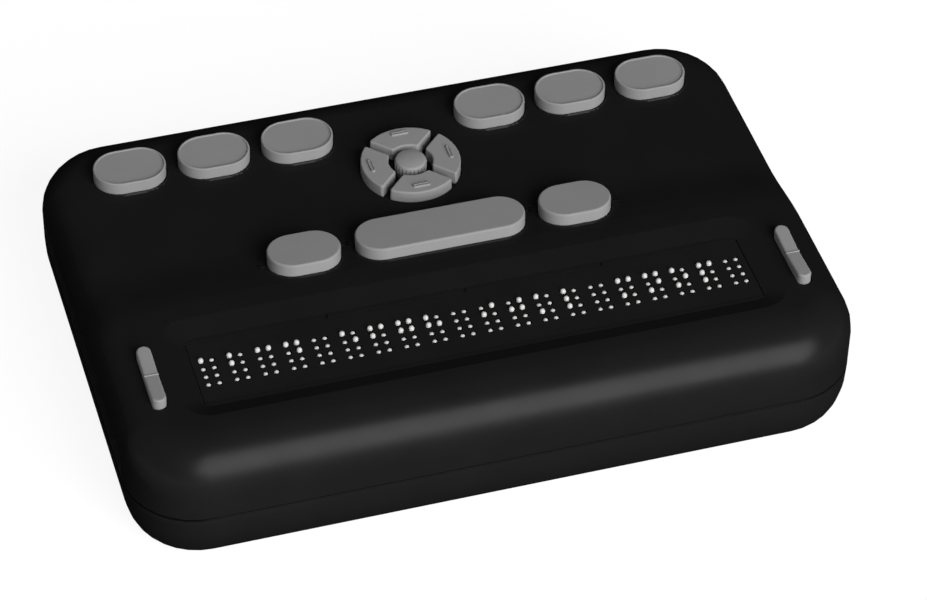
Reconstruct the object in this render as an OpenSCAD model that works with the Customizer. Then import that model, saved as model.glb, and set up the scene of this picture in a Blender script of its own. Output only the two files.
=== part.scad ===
// Portable braille display with a braille keyboard, a cursor pad and two panning rockers.
// Millimetres; X runs to the right, Y to the back and Z up from the table.

/* [Case] */
// Width of the case
case_w = 170; // [168:1:182]
// Depth of the case
case_d = 116; // [116:1:126]
// Radius of the case corners seen from above
corner_r = 17; // [15:0.5:20]
// Height of the bottom cover
lower_h = 13; // [12:0.5:14]
// Height of the keyboard deck above the underside
deck_h = 29; // [28:0.5:32]
// Rise of the deck from the keyboard to the braille line
deck_rise = 2.05; // [1.5:0.05:2.5]
// Where the rise starts, behind the space bar
rise_back_y = 9; // [7:0.5:11]
// Where the rise ends, in front of the space bar
rise_front_y = -12; // [-13:0.5:-10]
// Roundover of the side and back edges of the deck
edge_r = 9.5; // [8:0.5:10]
// Roundover of the front edge, where the wrists rest
front_r = 12; // [10:0.5:14]
// How far the roundover under the case goes in
base_r = 4.3; // [3:0.1:4.5]
// Height of the roundover under the case
base_h = 11; // [8:0.5:11.5]
// Wall of both covers
wall = 2.2; // [2:0.1:2.6]
// Shadow groove at the joint between the covers
groove = 0.3; // [0.2:0.05:0.4]
// Height of the tongue that keys the covers together
tongue_h = 1.2; // [0.8:0.1:1.6]

/* [Feet] */
// Radius of a rubber foot
foot_r = 8.5; // [6:0.5:9]
// Height of the feet under the case
foot_h = 1.1; // [0.8:0.1:2]
// Distance of the feet from the sides of the case
foot_side = 15; // [14.5:0.5:18]
// Distance of the feet from the front and back of the case
foot_end = 13.5; // [13.5:0.5:18]

/* [Braille line] */
// Number of braille cells
cell_n = 20; // [16:1:20]
// Distance between the dots of a cell
dot_pitch = 2.5; // [2.3:0.05:2.6]
// Distance between neighbouring cells
cell_pitch = 6.49; // [6.2:0.01:6.5]
// Radius of a braille pin
pin_r = 0.7; // [0.6:0.05:0.75]
// Length of a braille pin
pin_l = 6; // [5.5:0.1:6.5]
// Travel of a braille pin
pin_lift = 0.55; // [0.4:0.05:0.7]
// How far a lowered pin's tip stands over the reading plate
pin_tip = 0.15; // [0.1:0.05:0.3]
// Middle of the braille line
line_y = -29.6; // [-30.5:0.1:-29]
// Depth of the reading plate seen from above
plate_d = 19.2; // [18:0.2:20]
// Drop of the reading plate under the deck
plate_drop = 1.35; // [1:0.05:1.6]
// Thickness of the reading plate
plate_t = 2.4; // [2:0.1:2.8]
// Width of the plate's flange under the case
plate_flange = 1.5; // [1:0.1:2]
// Thickness of the plate's flange
flange_t = 1; // [0.8:0.1:1.2]
// Slope length of the basin at the sides and at the front
basin_run = 4; // [3:0.5:5]
// Slope length of the basin behind the braille line
basin_back_run = 5.6; // [5:0.2:7]
// Radius of the basin corners
basin_r = 5; // [4:0.5:6]
// Depth of a braille cell
cell_d = 15; // [13:0.5:17]
// Height of a braille cell
cell_h = 13; // [10:0.5:13.5]

/* [Keys] */
// Length of a dot key
key_w = 17.1; // [16:0.1:17.5]
// Depth of the keys
key_d = 12.2; // [11:0.1:12.4]
// Distance between neighbouring dot keys
key_pitch = 20.2; // [20:0.1:20.6]
// Distance of the first dot key from the middle
first_key_x = 23.7; // [23.2:0.1:24.2]
// Middle of the row of dot keys
dot_row_y = 39.9; // [39:0.1:40]
// Height of the dot keys over the deck
dot_rise = 3.3; // [2.5:0.1:4]
// Length of the space bar
space_w = 40.3; // [36:0.1:42]
// Gap between the space bar and the keys beside it
space_gap = 3.7; // [3.5:0.1:5]
// Middle of the row with the space bar
space_row_y = 0; // [-0.5:0.1:1]
// Height of the space bar row over the deck
space_rise = 3.6; // [3:0.1:4]
// Backward tilt of the space bar row, which follows the rising deck
space_tilt = 5; // [3:0.5:7]
// Travel of a key
key_travel = 1; // [0.6:0.1:1.2]
// Rounding of a key's upper edge
key_edge = 0.3; // [0.2:0.05:0.4]
// Width of the raised rim on a dot key
rim_w = 0.5; // [0.4:0.05:0.8]
// Height of the raised rim on a dot key
rim_h = 0.3; // [0.2:0.05:0.4]
// Width of the low collar round each key
lip_w = 2.1; // [1.7:0.1:2.2]
// Height of the low collar round each key
lip_h = 0.45; // [0.3:0.05:0.5]

/* [Cursor pad] */
// Radius of the cursor pad
pad_r = 11.8; // [11:0.1:12]
// Middle of the cursor pad
pad_y = 25.1; // [24.6:0.1:25.4]
// Height of the pad over the deck
pad_rise = 2.7; // [2:0.1:3]
// Gap between the four cursor keys
pad_gap = 1.9; // [1.6:0.1:2]
// Inner radius of the cursor keys
pad_inner_r = 5.3; // [5.2:0.1:5.6]
// Radius of the select key
select_r = 3.6; // [3.2:0.1:3.7]
// Depth of the web between the cursor keys under the deck
web_drop = 0.4; // [0.3:0.1:0.8]
// Length of a tactile bar on a cursor key
bar_l = 4.2; // [3:0.1:5]

/* [Panning rockers] */
// Width of a rocker
rocker_w = 3.3; // [3:0.1:4]
// Length of a rocker
rocker_l = 18; // [16:0.5:20]
// Distance of the rockers from the sides of the case
rocker_side = 10; // [9.8:0.1:10.4]
// Middle of the rockers
rocker_y = -30.3; // [-31:0.1:-29.5]
// Height of a rocker's ends over the deck
rocker_rise = 2.4; // [1.8:0.1:2.8]
// How much lower the middle of a rocker is than its ends
rocker_dip = 0.8; // [0.5:0.1:1]
// Swing of a rocker to each side
rocker_swing = 3.5; // [2:0.5:4]
// Radius of a rocker's hinge pin
hinge_r = 0.8; // [0.6:0.1:1]

/* [Inside] */
// Thickness of the circuit boards
board_t = 1.6; // [1.2:0.1:1.6]
// Height of a key switch
switch_h = 3.2; // [2.8:0.1:3.6]
// Side of a key switch
switch_w = 6; // [5:0.5:6]
// Width of the battery pack
battery_w = 62; // [56:1:64]
// Depth of the battery pack
battery_d = 30; // [26:1:31]
// Thickness of the battery pack
battery_t = 5.8; // [5:0.1:6.2]
// Thickness of the battery door
door_t = 1.6; // [1.4:0.1:1.8]
// Radius of a case screw
screw_r = 1.25; // [1:0.05:1.4]

/* [Rear side] */
// Radius of the power button
power_r = 3; // [2.5:0.1:3.2]
// Travel of the power button
power_travel = 0.6; // [0.4:0.1:0.8]
// Place of the power button along the back
power_x = 46; // [42:1:48]
// Place of the charging socket along the back
usb_x = 28; // [22:1:31]
// Place of the memory card slot along the back
card_x = -18; // [-24:1:-10]

/* [Fits] */
// Clearance round the keys
key_gap = 0.3; // [0.25:0.05:0.35]
// Clearance round a braille pin
pin_gap = 0.08; // [0.06:0.01:0.1]
// Clearance round a hinge pin
hinge_gap = 0.05; // [0.03:0.01:0.08]
// Clearance between fixed pieces that slip together
slip = 0.15; // [0.1:0.05:0.2]
// Clearance left over a switch at the end of a key's travel
press_gap = 0.05; // [0.03:0.01:0.1]

/* [Hidden] */
$fn = 64;

// Colours
CASE = "#161616";
KEY = "#7d7d7d";
PIN = "#e4e4e0";
PLATE = "#121212";
RUBBER = "#0a0a0a";
BOARD = "#1f5a3a";
METAL = "#b9bcc0";
DARK = "#2a2a2c";
CELL = "#3a3a3e";
FOIL = "#4a5a78";
FLEX = "#c98a3a";

// Steps of a quarter turn in the lofted forms
RING = 8;

// Heights in the case
base_z = foot_h;
part_z = base_z + lower_h;
back_z = base_z + deck_h;
front_z = back_z + deck_rise;
floor_z = base_z + wall;
inner_d = case_d - 2 * wall;

// Braille line
line_w = cell_n * cell_pitch;
plate_z = front_z - plate_drop;
plate_w = line_w + 2 * slip;
plate_bottom = plate_z - plate_t;
frame_z = plate_bottom + flange_t;
basin_z = plate_z + slip;
basin_front_y = line_y - plate_d / 2 - slip - 1;
basin_back_y = line_y + plate_d / 2 + slip + 1.4;
basin_half_w = plate_w / 2 + slip + 1;
tick_w = 0.7;
tick_l = 1.4;
tick_depth = 0.3;
cell_gap = 0.3;
cell_board_w = line_w + 14;
cell_board_z = plate_bottom - cell_h;
pin_bore_depth = pin_l - plate_t + pin_lift + 0.6;

// Braille letters as lists of dots, and the dots' places in a cell
LETTERS = [
  [1], [1, 2], [1, 4], [1, 4, 5], [1, 5], [1, 2, 4], [1, 2, 4, 5], [1, 2, 5],
  [2, 4], [2, 4, 5], [1, 3], [1, 2, 3], [1, 3, 4], [1, 3, 4, 5], [1, 3, 5], [1, 2, 3, 4]
];
DOT_GRID = [[1, 4], [2, 5], [3, 6], [7, 8]];
GROUP = 5;

// Keys: depth of the guide sleeve, flange and stem under the deck
sleeve_depth = 3.4;
sleeve_wall = 1.2;
flange_out = 0.8;
key_flange_t = 1;
stem_r = 2;
flange_depth = sleeve_depth + key_gap;
stem_depth = flange_depth + key_flange_t + 0.5;
side_key_x = space_w / 2 + space_gap + key_w / 2;
lip_crest = 0.15;
lip_foot = 0.45;
lip_foot_h = 0.12;
press_z = back_z - stem_depth - key_travel - press_gap;
board_top = press_z - switch_h;

// Cursor pad
pad_mid_r = (pad_inner_r + pad_r) / 2;
bar_w = 1;
bar_h = 0.5;
select_rise = pad_rise + 0.7;
select_dome = 0.5;
rib_n = 24;
rib_r = 0.2;

// Rockers
rocker_x = case_w / 2 - rocker_side;
hinge_drop = 3.15;
hinge_z = front_z - hinge_drop;
rocker_bottom = hinge_z - 2;
rocker_foot_y = 6.5;
rocker_foot_l = 3;
rocker_foot_z = hinge_z - 4;
rocker_end_gap = 0.45;
rocker_rib = 0.35;
ear_t = 1.5;
ear_d = 6;
ear_gap = 0.25;
hinge_l = rocker_w + 2 * (ear_gap + ear_t);

// Fasteners and their places
head_r = 2 * screw_r;
head_h = 1.6;
screw_reach = 6;
head_sink = 0.4;
boss_r = 3.2;
boss_bite = 0.3;
post_side = 28;
post_front = 13;
post_back = 8;
CASE_POSTS = [for (sx = [-1, 1], y = [post_front - case_d / 2, case_d / 2 - post_back])
  [sx * (case_w / 2 - post_side), y]];
thread_gap = 0.02;
arm_w = 10;
board_margin = 0.8;
switch_body_h = 2;
small_r = 1;
small_head_r = 1.9;
small_head_h = 1.2;
small_grip = 4;
post_r = 2.6;
key_post_x = first_key_x + 1.4 * key_pitch;
space_post_y = space_row_y + 10;
KEY_POSTS = [
  for (sx = [-1, 1]) each [
    [sx * key_post_x, dot_row_y - 12], [sx * key_post_x, space_post_y], [sx * 0.45 * space_w, space_post_y]
  ]
];
CELL_POSTS = [for (sx = [-1, 1], sy = [-1, 1]) [sx * (line_w / 2 + 4), line_y + sy * 5]];

// Main board and rear side
main_z = floor_z + 3.1;
main_top = main_z + board_t;
main_gap = 1.4;
main_side = 20;
main_back = inner_d / 2 - main_gap;
main_front = -8;
main_w = case_w - 2 * main_side;
MAIN_POSTS = [
  for (sx = [-1, 1]) [sx * (main_w / 2 - 7), main_front + 10],
  [15 - main_w / 2, main_back - 14.4],
  [main_w / 2 - 7, main_back - 18.4]
];
rear_z = main_top + 1.7;
CHIP = [14, 14, 1.4];
CHIP_AT = [8, 8];
SHIELD = [18, 13, 2.4];
SHIELD_AT = [5 - main_w / 2, main_front + 22];
usb_size = [9, 7.5, 3.2];
usb_wall = 0.35;
usb_sink = 0.3;
usb_end = 1.6;
card_size = [28, 29, 3.4];
card_end = 1.5;
card_slot_h = 2.3;
card_slot_w = 24.6;
power_flange_t = 1;
power_switch_d = 4;
plunger_r = 1;
plunger_l = 1;
power_sink = 0.6;
power_flange_r = power_r + flange_out;
power_back_y = case_d / 2 - wall - base_inset(rear_z - power_flange_r) - key_gap;
power_press_y = power_back_y - power_flange_t - power_travel - press_gap;

// Flat cables between the boards
flex_w = 20;
flex_t = 0.3;
flex_socket_d = 4;
flex_socket_h = 2;
cell_flex_x = -40;

// Battery bay
door_w = battery_w + 8;
door_d = battery_d + 4;
battery_y = -29;
bay_wall = 1.4;
bay_w = battery_w + 2 * slip;
bay_d = battery_d + 2 * slip;
bay_top = base_z + door_t + battery_t + 2 * slip;
door_screw_x = battery_w / 2 + 2;
contact_w = 1.6;
contact_t = 2.4;
contact_pitch = 5;
contact_z = main_z - contact_t;
contact_l = main_front + 1 - battery_y - battery_d / 2;

// Height of the deck along the depth of the case: level, a smooth rise, level
function rise_part(y) = min(1, max(0, (rise_back_y - y) / (rise_back_y - rise_front_y)));
function deck_z(y) = back_z + deck_rise * (1 - cos(180 * rise_part(y))) / 2;

// How far the case goes in at a height over its underside
function base_inset(z) =
  let (t = 1 - min(1, (z - base_z) / base_h))
  base_r * (1 - sqrt(1 - t ^ 2));

// Slope of the deck under a piece of a given depth, in degrees
function deck_lean(y, d) = atan((deck_z(y - d / 2) - deck_z(y + d / 2)) / d);

// One point of a case ring: t turns round a corner, phi climbs the roundover
function ring_point(t, y_mid, inset, phi) =
  let (r = corner_r - inset)
  let (side = edge_r - inset)
  let (end = t < 0 ? front_r - inset : side)
  let (lost = 1 - cos(phi))
  let (x = case_w / 2 - corner_r + (r - side * lost) * cos(t))
  let (y = y_mid + (r - end * lost) * sin(t))
  let (drop = (side * cos(t) ^ 2 + end * sin(t) ^ 2) * (1 - sin(phi)))
  [x, y, deck_z(y) - inset - drop];

// Right half of a ring from front to back; a given z makes the ring level
function ring_half(inset, phi, steps, z = undef) =
  let (y_mid = case_d / 2 - corner_r)
  let (raw = [
    each [for (i = [0 : steps]) ring_point(-90 + 90 * i / steps, -y_mid, inset, phi)],
    each [for (i = [1 : 3 * steps - 1]) ring_point(0, y_mid * (2 * i / (3 * steps) - 1), inset, phi)],
    each [for (i = [0 : steps]) ring_point(90 * i / steps, y_mid, inset, phi)]
  ])
  is_undef(z) ? raw : [for (p = raw) [p.x, p.y, z]];

// A half outline closed by its mirror image
function whole_ring(half) = [
  each half,
  each [for (i = [len(half) - 1 : -1 : 0]) [-half[i].x, half[i].y, half[i].z]]
];

// Half outline of a level rounded rectangle
function pan_half(half_w, y0, y1, r, z) = [
  each [for (a = [-90 : 15 : 0]) [half_w - r + r * cos(a), y0 + r + r * sin(a), z]],
  each [for (a = [0 : 15 : 90]) [half_w - r + r * cos(a), y1 - r + r * sin(a), z]]
];

// Closed solid through a stack of rings, capped by strips from side to side
module loft(halves) {
  rings = [for (h = halves) whole_ring(h)];
  n = len(rings[0]);
  last = len(rings) - 1;
  strips = [for (i = [0 : n / 2 - 2]) [i, i + 1, n - 2 - i, n - 1 - i]];
  polyhedron(
    points = [for (r = rings) each r],
    faces = [
      each strips,
      each [for (s = strips) [for (i = [3 : -1 : 0]) s[i] + last * n]],
      each [for (k = [0 : last - 1], i = [0 : n - 1])
        [k * n + i, (k + 1) * n + i, (k + 1) * n + (i + 1) % n, k * n + (i + 1) % n]]
    ]
  );
}

// Plan outline of the case, moved inwards
module plan(inset) {
  r = corner_r - inset;
  for (s = [0, 1])
    square([case_w - 2 * inset - 2 * r * s, case_d - 2 * inset - 2 * r * (1 - s)], center = true);
  for (sx = [-1, 1], sy = [-1, 1])
    translate([sx * (case_w / 2 - corner_r), sy * (case_d / 2 - corner_r)]) circle(r);
}

// Flat shape with two round ends
module stadium(l, d) {
  square([l - d, d], center = true);
  for (s = [-1, 1]) translate([s * (l - d) / 2, 0]) circle(d = d);
}

// Body with two round ends, whose cross section is the flat shape given to it
module stadium_body(l, d) {
  run = l - d;
  reach = 2 * l;
  translate([-run / 2, 0, 0]) rotate([90, 0, 90]) linear_extrude(run) children();
  for (s = [0, 1])
    rotate([0, 0, 180 * s]) translate([run / 2, 0, 0]) rotate([0, 0, -90]) rotate_extrude(angle = 180)
      intersection() {
        children();
        translate([0, -reach]) square([reach, 2 * reach]);
      }
}

// Part that a key's cross section shares: cap with a rounded edge over a flange
module key_section(d, rise, rim) {
  difference() {
    union() {
      translate([-d / 2, -flange_depth]) square([d, flange_depth + rise - key_edge]);
      translate([-d / 2 + key_edge, 0]) square([d - 2 * key_edge, rise]);
      for (s = [-1, 1]) translate([s * (d / 2 - key_edge), rise - key_edge]) circle(key_edge);
      translate([-d / 2 - flange_out, -flange_depth - key_flange_t])
        square([d + 2 * flange_out, key_flange_t]);
    }
    if (rim > 0) translate([-d / 2 + rim_w, rise - rim]) square([d - 2 * rim_w, rim + 1]);
  }
}

// Places a key's own frame, whose Z leaves the deck
module at_key(x, y, tilt) {
  translate([x, y, deck_z(y)]) rotate([-tilt, 0, 0]) children();
}

function dot_x(i) = (i < 3 ? -1 : 1) * (first_key_x + key_pitch * (i % 3));

module in_dot_frame(i) {
  at_key(dot_x(i), dot_row_y, 0) children();
}

module in_space_frame(i) {
  at_key((i - 1) * side_key_x, space_row_y, space_tilt) children();
}

function space_row_l(i) = i == 1 ? space_w : key_w;

module dot_key(i) {
  color(KEY) in_dot_frame(i) {
    stadium_body(key_w, key_d) key_section(key_d, dot_rise, rim_h);
    translate([0, 0, -stem_depth]) cylinder(r = stem_r, h = stem_depth - flange_depth);
  }
}

module space_row_key(i) {
  color(KEY) in_space_frame(i) {
    stadium_body(space_row_l(i), key_d) key_section(key_d, space_rise, 0);
    for (x = i == 1 ? [-space_w / 4, space_w / 4] : [0])
      translate([x, 0, -stem_depth]) cylinder(r = stem_r, h = stem_depth - flange_depth);
  }
}

// Cross section of the collar round a key's hole: a crest with a soft foot
module collar_section(hole) {
  side = [[lip_w, -wall / 3], [lip_w, 0], [lip_foot, lip_foot_h], [lip_crest, lip_h]];
  polygon([
    each [for (p = side) [hole + p.x, p.y]],
    each [for (i = [len(side) - 1 : -1 : 0]) [-hole - side[i].x, side[i].y]]
  ]);
}

// Material that the top cover gains round a key: guide sleeve below, low collar along the deck above
module key_surround(l, d, y, tilt) {
  hole = d / 2 + key_gap;
  outer = hole + sleeve_wall;
  bow = (deck_z(y - d / 2) + deck_z(y + d / 2)) / 2 - deck_z(y);
  difference() {
    union() {
      stadium_body(l, d) translate([-outer, -sleeve_depth]) square([2 * outer, sleeve_depth - wall / 2]);
      translate([0, 0, bow / 3]) rotate([tilt - deck_lean(y, d), 0, 0]) stadium_body(l, d)
        collar_section(hole);
    }
    key_hole(l, d);
  }
}

module key_hole(l, d) {
  translate([0, 0, -sleeve_depth - 1]) linear_extrude(sleeve_depth + 3)
    stadium(l + 2 * key_gap, d + 2 * key_gap);
}

// Ring sector of the cursor pad that points along +X, grown by a clearance
module sector(grow) {
  difference() {
    intersection() {
      circle(pad_r + grow);
      sector_wedge(grow);
    }
    circle(pad_inner_r - grow);
  }
}

// Wedge between the diagonal gaps, without limits in radius
module sector_wedge(grow) {
  cut = (pad_gap / 2 - grow) * sqrt(2);
  far = 2 * pad_r;
  polygon([[cut, 0], [far + cut, far], [far + cut, -far]]);
}

// Dome and rounded rims of the cursor pad, turned about its middle
module pad_envelope(r0, r1) {
  rotate_extrude() {
    translate([r0, -stem_depth]) square([r1 - r0, stem_depth + pad_rise - key_edge]);
    translate([r0 + key_edge, 0]) square([r1 - r0 - 2 * key_edge, pad_rise]);
    translate([r0 + key_edge, pad_rise - key_edge]) circle(key_edge);
    translate([r1 - key_edge, pad_rise - key_edge]) circle(key_edge);
  }
}

module in_pad_frame(turn = 0) {
  translate([0, pad_y, back_z]) rotate([0, 0, turn]) children();
}

module cursor_key(i) {
  color(KEY) in_pad_frame(90 * i) {
    intersection() {
      translate([0, 0, -flange_depth - key_flange_t]) linear_extrude(stem_depth + 2 * pad_rise) sector(0);
      pad_envelope(pad_inner_r, pad_r);
    }
    translate([0, 0, -flange_depth - key_flange_t]) linear_extrude(key_flange_t) difference() {
      intersection() {
        circle(pad_r + flange_out + key_gap);
        sector_wedge(0);
      }
      circle(pad_inner_r);
    }
    translate([pad_mid_r, 0, -stem_depth]) cylinder(r = stem_r, h = stem_depth - flange_depth);
    translate([pad_mid_r + bar_w, 0, pad_rise - bar_h]) rotate([0, 0, 90])
      linear_extrude(2 * bar_h) stadium(bar_l, bar_w);
  }
}

module select_key() {
  dome_r = (select_r ^ 2 + select_dome ^ 2) / (2 * select_dome);
  color(KEY) in_pad_frame() {
    rotate_extrude() {
      intersection() {
        translate([0, -flange_depth]) square([select_r, flange_depth + select_rise]);
        translate([0, select_rise - dome_r]) circle(dome_r, $fn = 4 * $fn);
      }
      translate([0, -flange_depth - key_flange_t]) square([select_r + flange_out, key_flange_t]);
    }
    for (i = [0 : rib_n - 1]) rotate([0, 0, 360 * i / rib_n])
      translate([select_r, 0, key_edge]) cylinder(r = rib_r, h = select_rise - select_dome - 3 * key_edge);
    translate([0, 0, -stem_depth]) cylinder(r = stem_r, h = stem_depth - flange_depth);
  }
}

// Well of the cursor pad: a round pocket with a web between the keys' holes
module pad_well() {
  in_pad_frame() {
    translate([0, 0, -web_drop]) cylinder(r = pad_r + key_gap, h = web_drop + 2);
    translate([0, 0, -sleeve_depth - 1]) {
      linear_extrude(sleeve_depth + 2) for (i = [0 : 3]) rotate(90 * i) sector(key_gap);
      cylinder(r = select_r + rib_r + key_gap, h = sleeve_depth + 2);
    }
  }
}

// Pill shape of a rocker seen from above
module rocker_plan(gap_w, gap_l) {
  rotate(90) stadium(rocker_l + 2 * gap_l, rocker_w + 2 * gap_w);
}

module rocker(side) {
  low = front_z + rocker_rise - rocker_dip;
  color(KEY) translate([side * rocker_x, rocker_y, 0]) difference() {
    union() {
      difference() {
        translate([0, 0, rocker_bottom]) linear_extrude(front_z + rocker_rise - rocker_bottom)
          rocker_plan(0, 0);
        rotate([90, 0, 90]) translate([0, 0, -rocker_w]) linear_extrude(2 * rocker_w) polygon([
          [0, low], [rocker_l / 2, low + rocker_dip], [rocker_l / 2, low + 5],
          [-rocker_l / 2, low + 5], [-rocker_l / 2, low + rocker_dip]
        ]);
      }
      intersection() {
        translate([0, 0, rocker_bottom]) linear_extrude(2 * rocker_l) rocker_plan(0, 0);
        translate([-rocker_w, 0, low]) rotate([0, 90, 0]) cylinder(r = rocker_rib, h = 2 * rocker_w);
      }
      for (s = [-1, 1])
        translate([-rocker_w / 2, s * rocker_foot_y - rocker_foot_l / 2, rocker_foot_z])
          cube([rocker_w, rocker_foot_l, rocker_bottom - rocker_foot_z + 1]);
    }
    translate([-rocker_w, 0, hinge_z]) rotate([0, 90, 0]) cylinder(r = hinge_r + hinge_gap, h = 2 * rocker_w);
  }
}

module rocker_pins() {
  color(METAL) hinge_rods(hinge_r);
}

// Ears under the deck that carry a rocker's hinge pin
module rocker_ears(side) {
  h = front_z - wall / 2 - hinge_z + 2 * hinge_r;
  translate([side * rocker_x, rocker_y, hinge_z - 2 * hinge_r]) for (s = [-1, 1])
    translate([s * (rocker_w / 2 + ear_gap + ear_t / 2) - ear_t / 2, -ear_d / 2, 0]) cube([ear_t, ear_d, h]);
}

// Both rockers' hinge pins, or the bores that hold them
module hinge_rods(r) {
  for (s = [-1, 1]) translate([s * rocker_x - hinge_l / 2, rocker_y, hinge_z]) rotate([0, 90, 0])
    cylinder(r = r, h = hinge_l);
}

// Outer form of the top cover
module top_form() {
  loft([
    ring_half(groove, 0, RING, part_z),
    ring_half(0, 0, RING, part_z + groove),
    for (phi = [0 : 90 / RING : 90]) ring_half(0, phi, RING)
  ]);
}

module top_cavity() {
  loft([
    ring_half(wall, 0, 4, part_z - 1),
    for (phi = [0 : 30 : 90]) ring_half(wall, phi, 4)
  ]);
}

// Recess round the braille line, with slopes on all sides
module basin() {
  over = 1;
  up = (front_z - basin_z + over) / (front_z - basin_z);
  loft([
    pan_half(basin_half_w, basin_front_y, basin_back_y, basin_r - 2, basin_z),
    pan_half(basin_half_w + basin_run * up, basin_front_y - basin_run * up,
      basin_back_y + basin_back_run * up, basin_r + basin_run, front_z + over)
  ]);
}

module top_cover() {
  color(CASE) difference() {
    union() {
      difference() {
        top_form();
        top_cavity();
        translate([0, 0, part_z - 1]) linear_extrude(tongue_h + slip + 1) plan(wall / 2 - slip);
      }
      union() {
        // Frame that stiffens the window of the braille line
        translate([-basin_half_w - basin_run, basin_front_y - 1, frame_z])
          cube([2 * (basin_half_w + basin_run), basin_back_y - basin_front_y + 4,
            front_z - wall + boss_bite - frame_z]);
        for (i = [0 : 5]) in_dot_frame(i) key_surround(key_w, key_d, dot_row_y, 0);
        for (i = [0 : 2]) in_space_frame(i)
          key_surround(space_row_l(i), key_d, space_row_y, space_tilt);
        in_pad_frame() translate([0, 0, -sleeve_depth])
          cylinder(r = pad_r + key_gap + sleeve_wall, h = sleeve_depth - wall / 2);
        for (s = [-1, 1]) rocker_ears(s);
        for (p = CASE_POSTS) translate([p.x, p.y, part_z])
          cylinder(r = boss_r, h = deck_z(p.y) - wall + boss_bite - part_z);
        for (p = KEY_POSTS) translate([p.x, p.y, board_top])
          cylinder(r = post_r, h = back_z - wall / 2 - board_top);
      }
    }
    basin();
    translate([0, line_y, plate_bottom]) linear_extrude(plate_t + 3)
      square([plate_w + 2 * slip, plate_d + 2 * slip], center = true);
    for (i = [1 : ceil(cell_n / GROUP) - 1])
      translate([(i * GROUP - cell_n / 2) * cell_pitch - tick_w / 2, line_y + plate_d / 2, basin_z])
        translate([0, 0, -tick_depth]) cube([tick_w, tick_l, 2]);
    for (i = [0 : 5]) in_dot_frame(i) key_hole(key_w, key_d);
    for (i = [0 : 2]) in_space_frame(i) key_hole(space_row_l(i), key_d);
    pad_well();
    for (s = [-1, 1]) translate([s * rocker_x, rocker_y, hinge_z]) linear_extrude(10)
      rocker_plan(ear_gap, rocker_end_gap);
    hinge_rods(hinge_r + thread_gap);
    for (p = CASE_POSTS) translate([p.x, p.y, part_z - 1])
      cylinder(r = screw_r + thread_gap, h = screw_reach + 2);
    for (p = KEY_POSTS) translate([p.x, p.y, board_top - 1])
      cylinder(r = small_r + thread_gap, h = small_grip + 1);
  }
}

// Outer form of the bottom cover
module bottom_form() {
  loft([
    for (a = [0 : 90 / RING : 90]) ring_half(base_r * (1 - sin(a)), 0, RING, base_z + base_h * (1 - cos(a))),
    ring_half(0, 0, RING, part_z - groove),
    ring_half(groove, 0, RING, part_z)
  ]);
}

module bottom_cavity() {
  step = (base_z + base_h - floor_z) / 4;
  loft([
    for (i = [0 : 4]) let (z = floor_z + i * step) ring_half(wall + base_inset(z), 0, RING, z),
    ring_half(wall, 0, RING, floor_z + lower_h)
  ]);
}

module bottom_cover() {
  color(CASE) difference() {
    union() {
      difference() {
        bottom_form();
        bottom_cavity();
      }
      union() {
        translate([0, 0, part_z - tongue_h]) linear_extrude(2 * tongue_h) difference() {
          plan(wall / 2);
          plan(wall);
        }
        for (p = CASE_POSTS) translate([p.x, p.y, base_z + 1]) cylinder(r = boss_r, h = part_z - base_z - 1);
        for (p = MAIN_POSTS) translate([p.x, p.y, base_z + 1]) cylinder(r = post_r, h = main_z - base_z - 1);
        for (p = CELL_POSTS)
          translate([p.x, p.y, base_z + 1]) cylinder(r = post_r, h = cell_board_z - board_t - base_z - 1);
        translate([-bay_w / 2 - bay_wall, battery_y - bay_d / 2 - bay_wall, base_z + 1])
          cube([bay_w + 2 * bay_wall, bay_d + 2 * bay_wall, bay_top + bay_wall - base_z - 1]);
        for (s = [-1, 1]) translate([s * door_screw_x, battery_y, base_z + 1])
          cylinder(r = post_r, h = door_t + 4);
      }
    }
    // Bay for the battery, with a seat for its door
    translate([-bay_w / 2, battery_y - bay_d / 2, base_z - 1]) cube([bay_w, bay_d, bay_top - base_z + 1]);
    translate([0, battery_y, base_z - 1]) linear_extrude(door_t + 1) door_plan(slip);
    for (i = [-1 : 1])
      translate([i * contact_pitch - contact_w / 2 - slip, battery_y, contact_z - slip])
        cube([contact_w + 2 * slip, bay_d / 2 + bay_wall + 1, contact_t + 2 * slip]);
    for (s = [-1, 1]) translate([s * door_screw_x, battery_y, base_z])
      cylinder(r = small_r + thread_gap, h = door_t + 3);
    for (p = CASE_POSTS) translate([p.x, p.y, base_z - 1]) {
      cylinder(r = screw_r + slip, h = lower_h + 2);
      cylinder(r = head_r + slip, h = head_sink + head_h + 1);
    }
    for (p = MAIN_POSTS) translate([p.x, p.y, main_z - small_grip])
      cylinder(r = small_r + thread_gap, h = small_grip + 1);
    for (p = CELL_POSTS) translate([p.x, p.y, cell_board_z - board_t - small_grip])
      cylinder(r = small_r + thread_gap, h = small_grip + 1);
    rear_openings();
  }
}

// Holes in the back of the bottom cover for the button, the socket and the card
module rear_openings() {
  back = case_d / 2;
  translate([power_x, back - 2 * wall, rear_z]) rotate([-90, 0, 0])
    cylinder(r = power_r + key_gap, h = 3 * wall);
  translate([usb_x, back + wall, rear_z]) rotate([90, 0, 0]) linear_extrude(3 * wall)
    stadium(usb_size.x + 2 * slip, usb_size.z + 2 * slip);
  translate([card_x - card_slot_w / 2 - slip, back - 2 * wall, rear_z - card_slot_h / 2 - slip])
    cube([card_slot_w + 2 * slip, 3 * wall, card_slot_h + 2 * slip]);
}

// Outline of the battery door
module door_plan(grow) {
  r = 3;
  for (s = [0, 1])
    square([door_w + 2 * grow - 2 * r * s, door_d + 2 * grow - 2 * r * (1 - s)], center = true);
  for (sx = [-1, 1], sy = [-1, 1])
    translate([sx * (door_w / 2 + grow - r), sy * (door_d / 2 + grow - r)]) circle(r);
}

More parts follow.
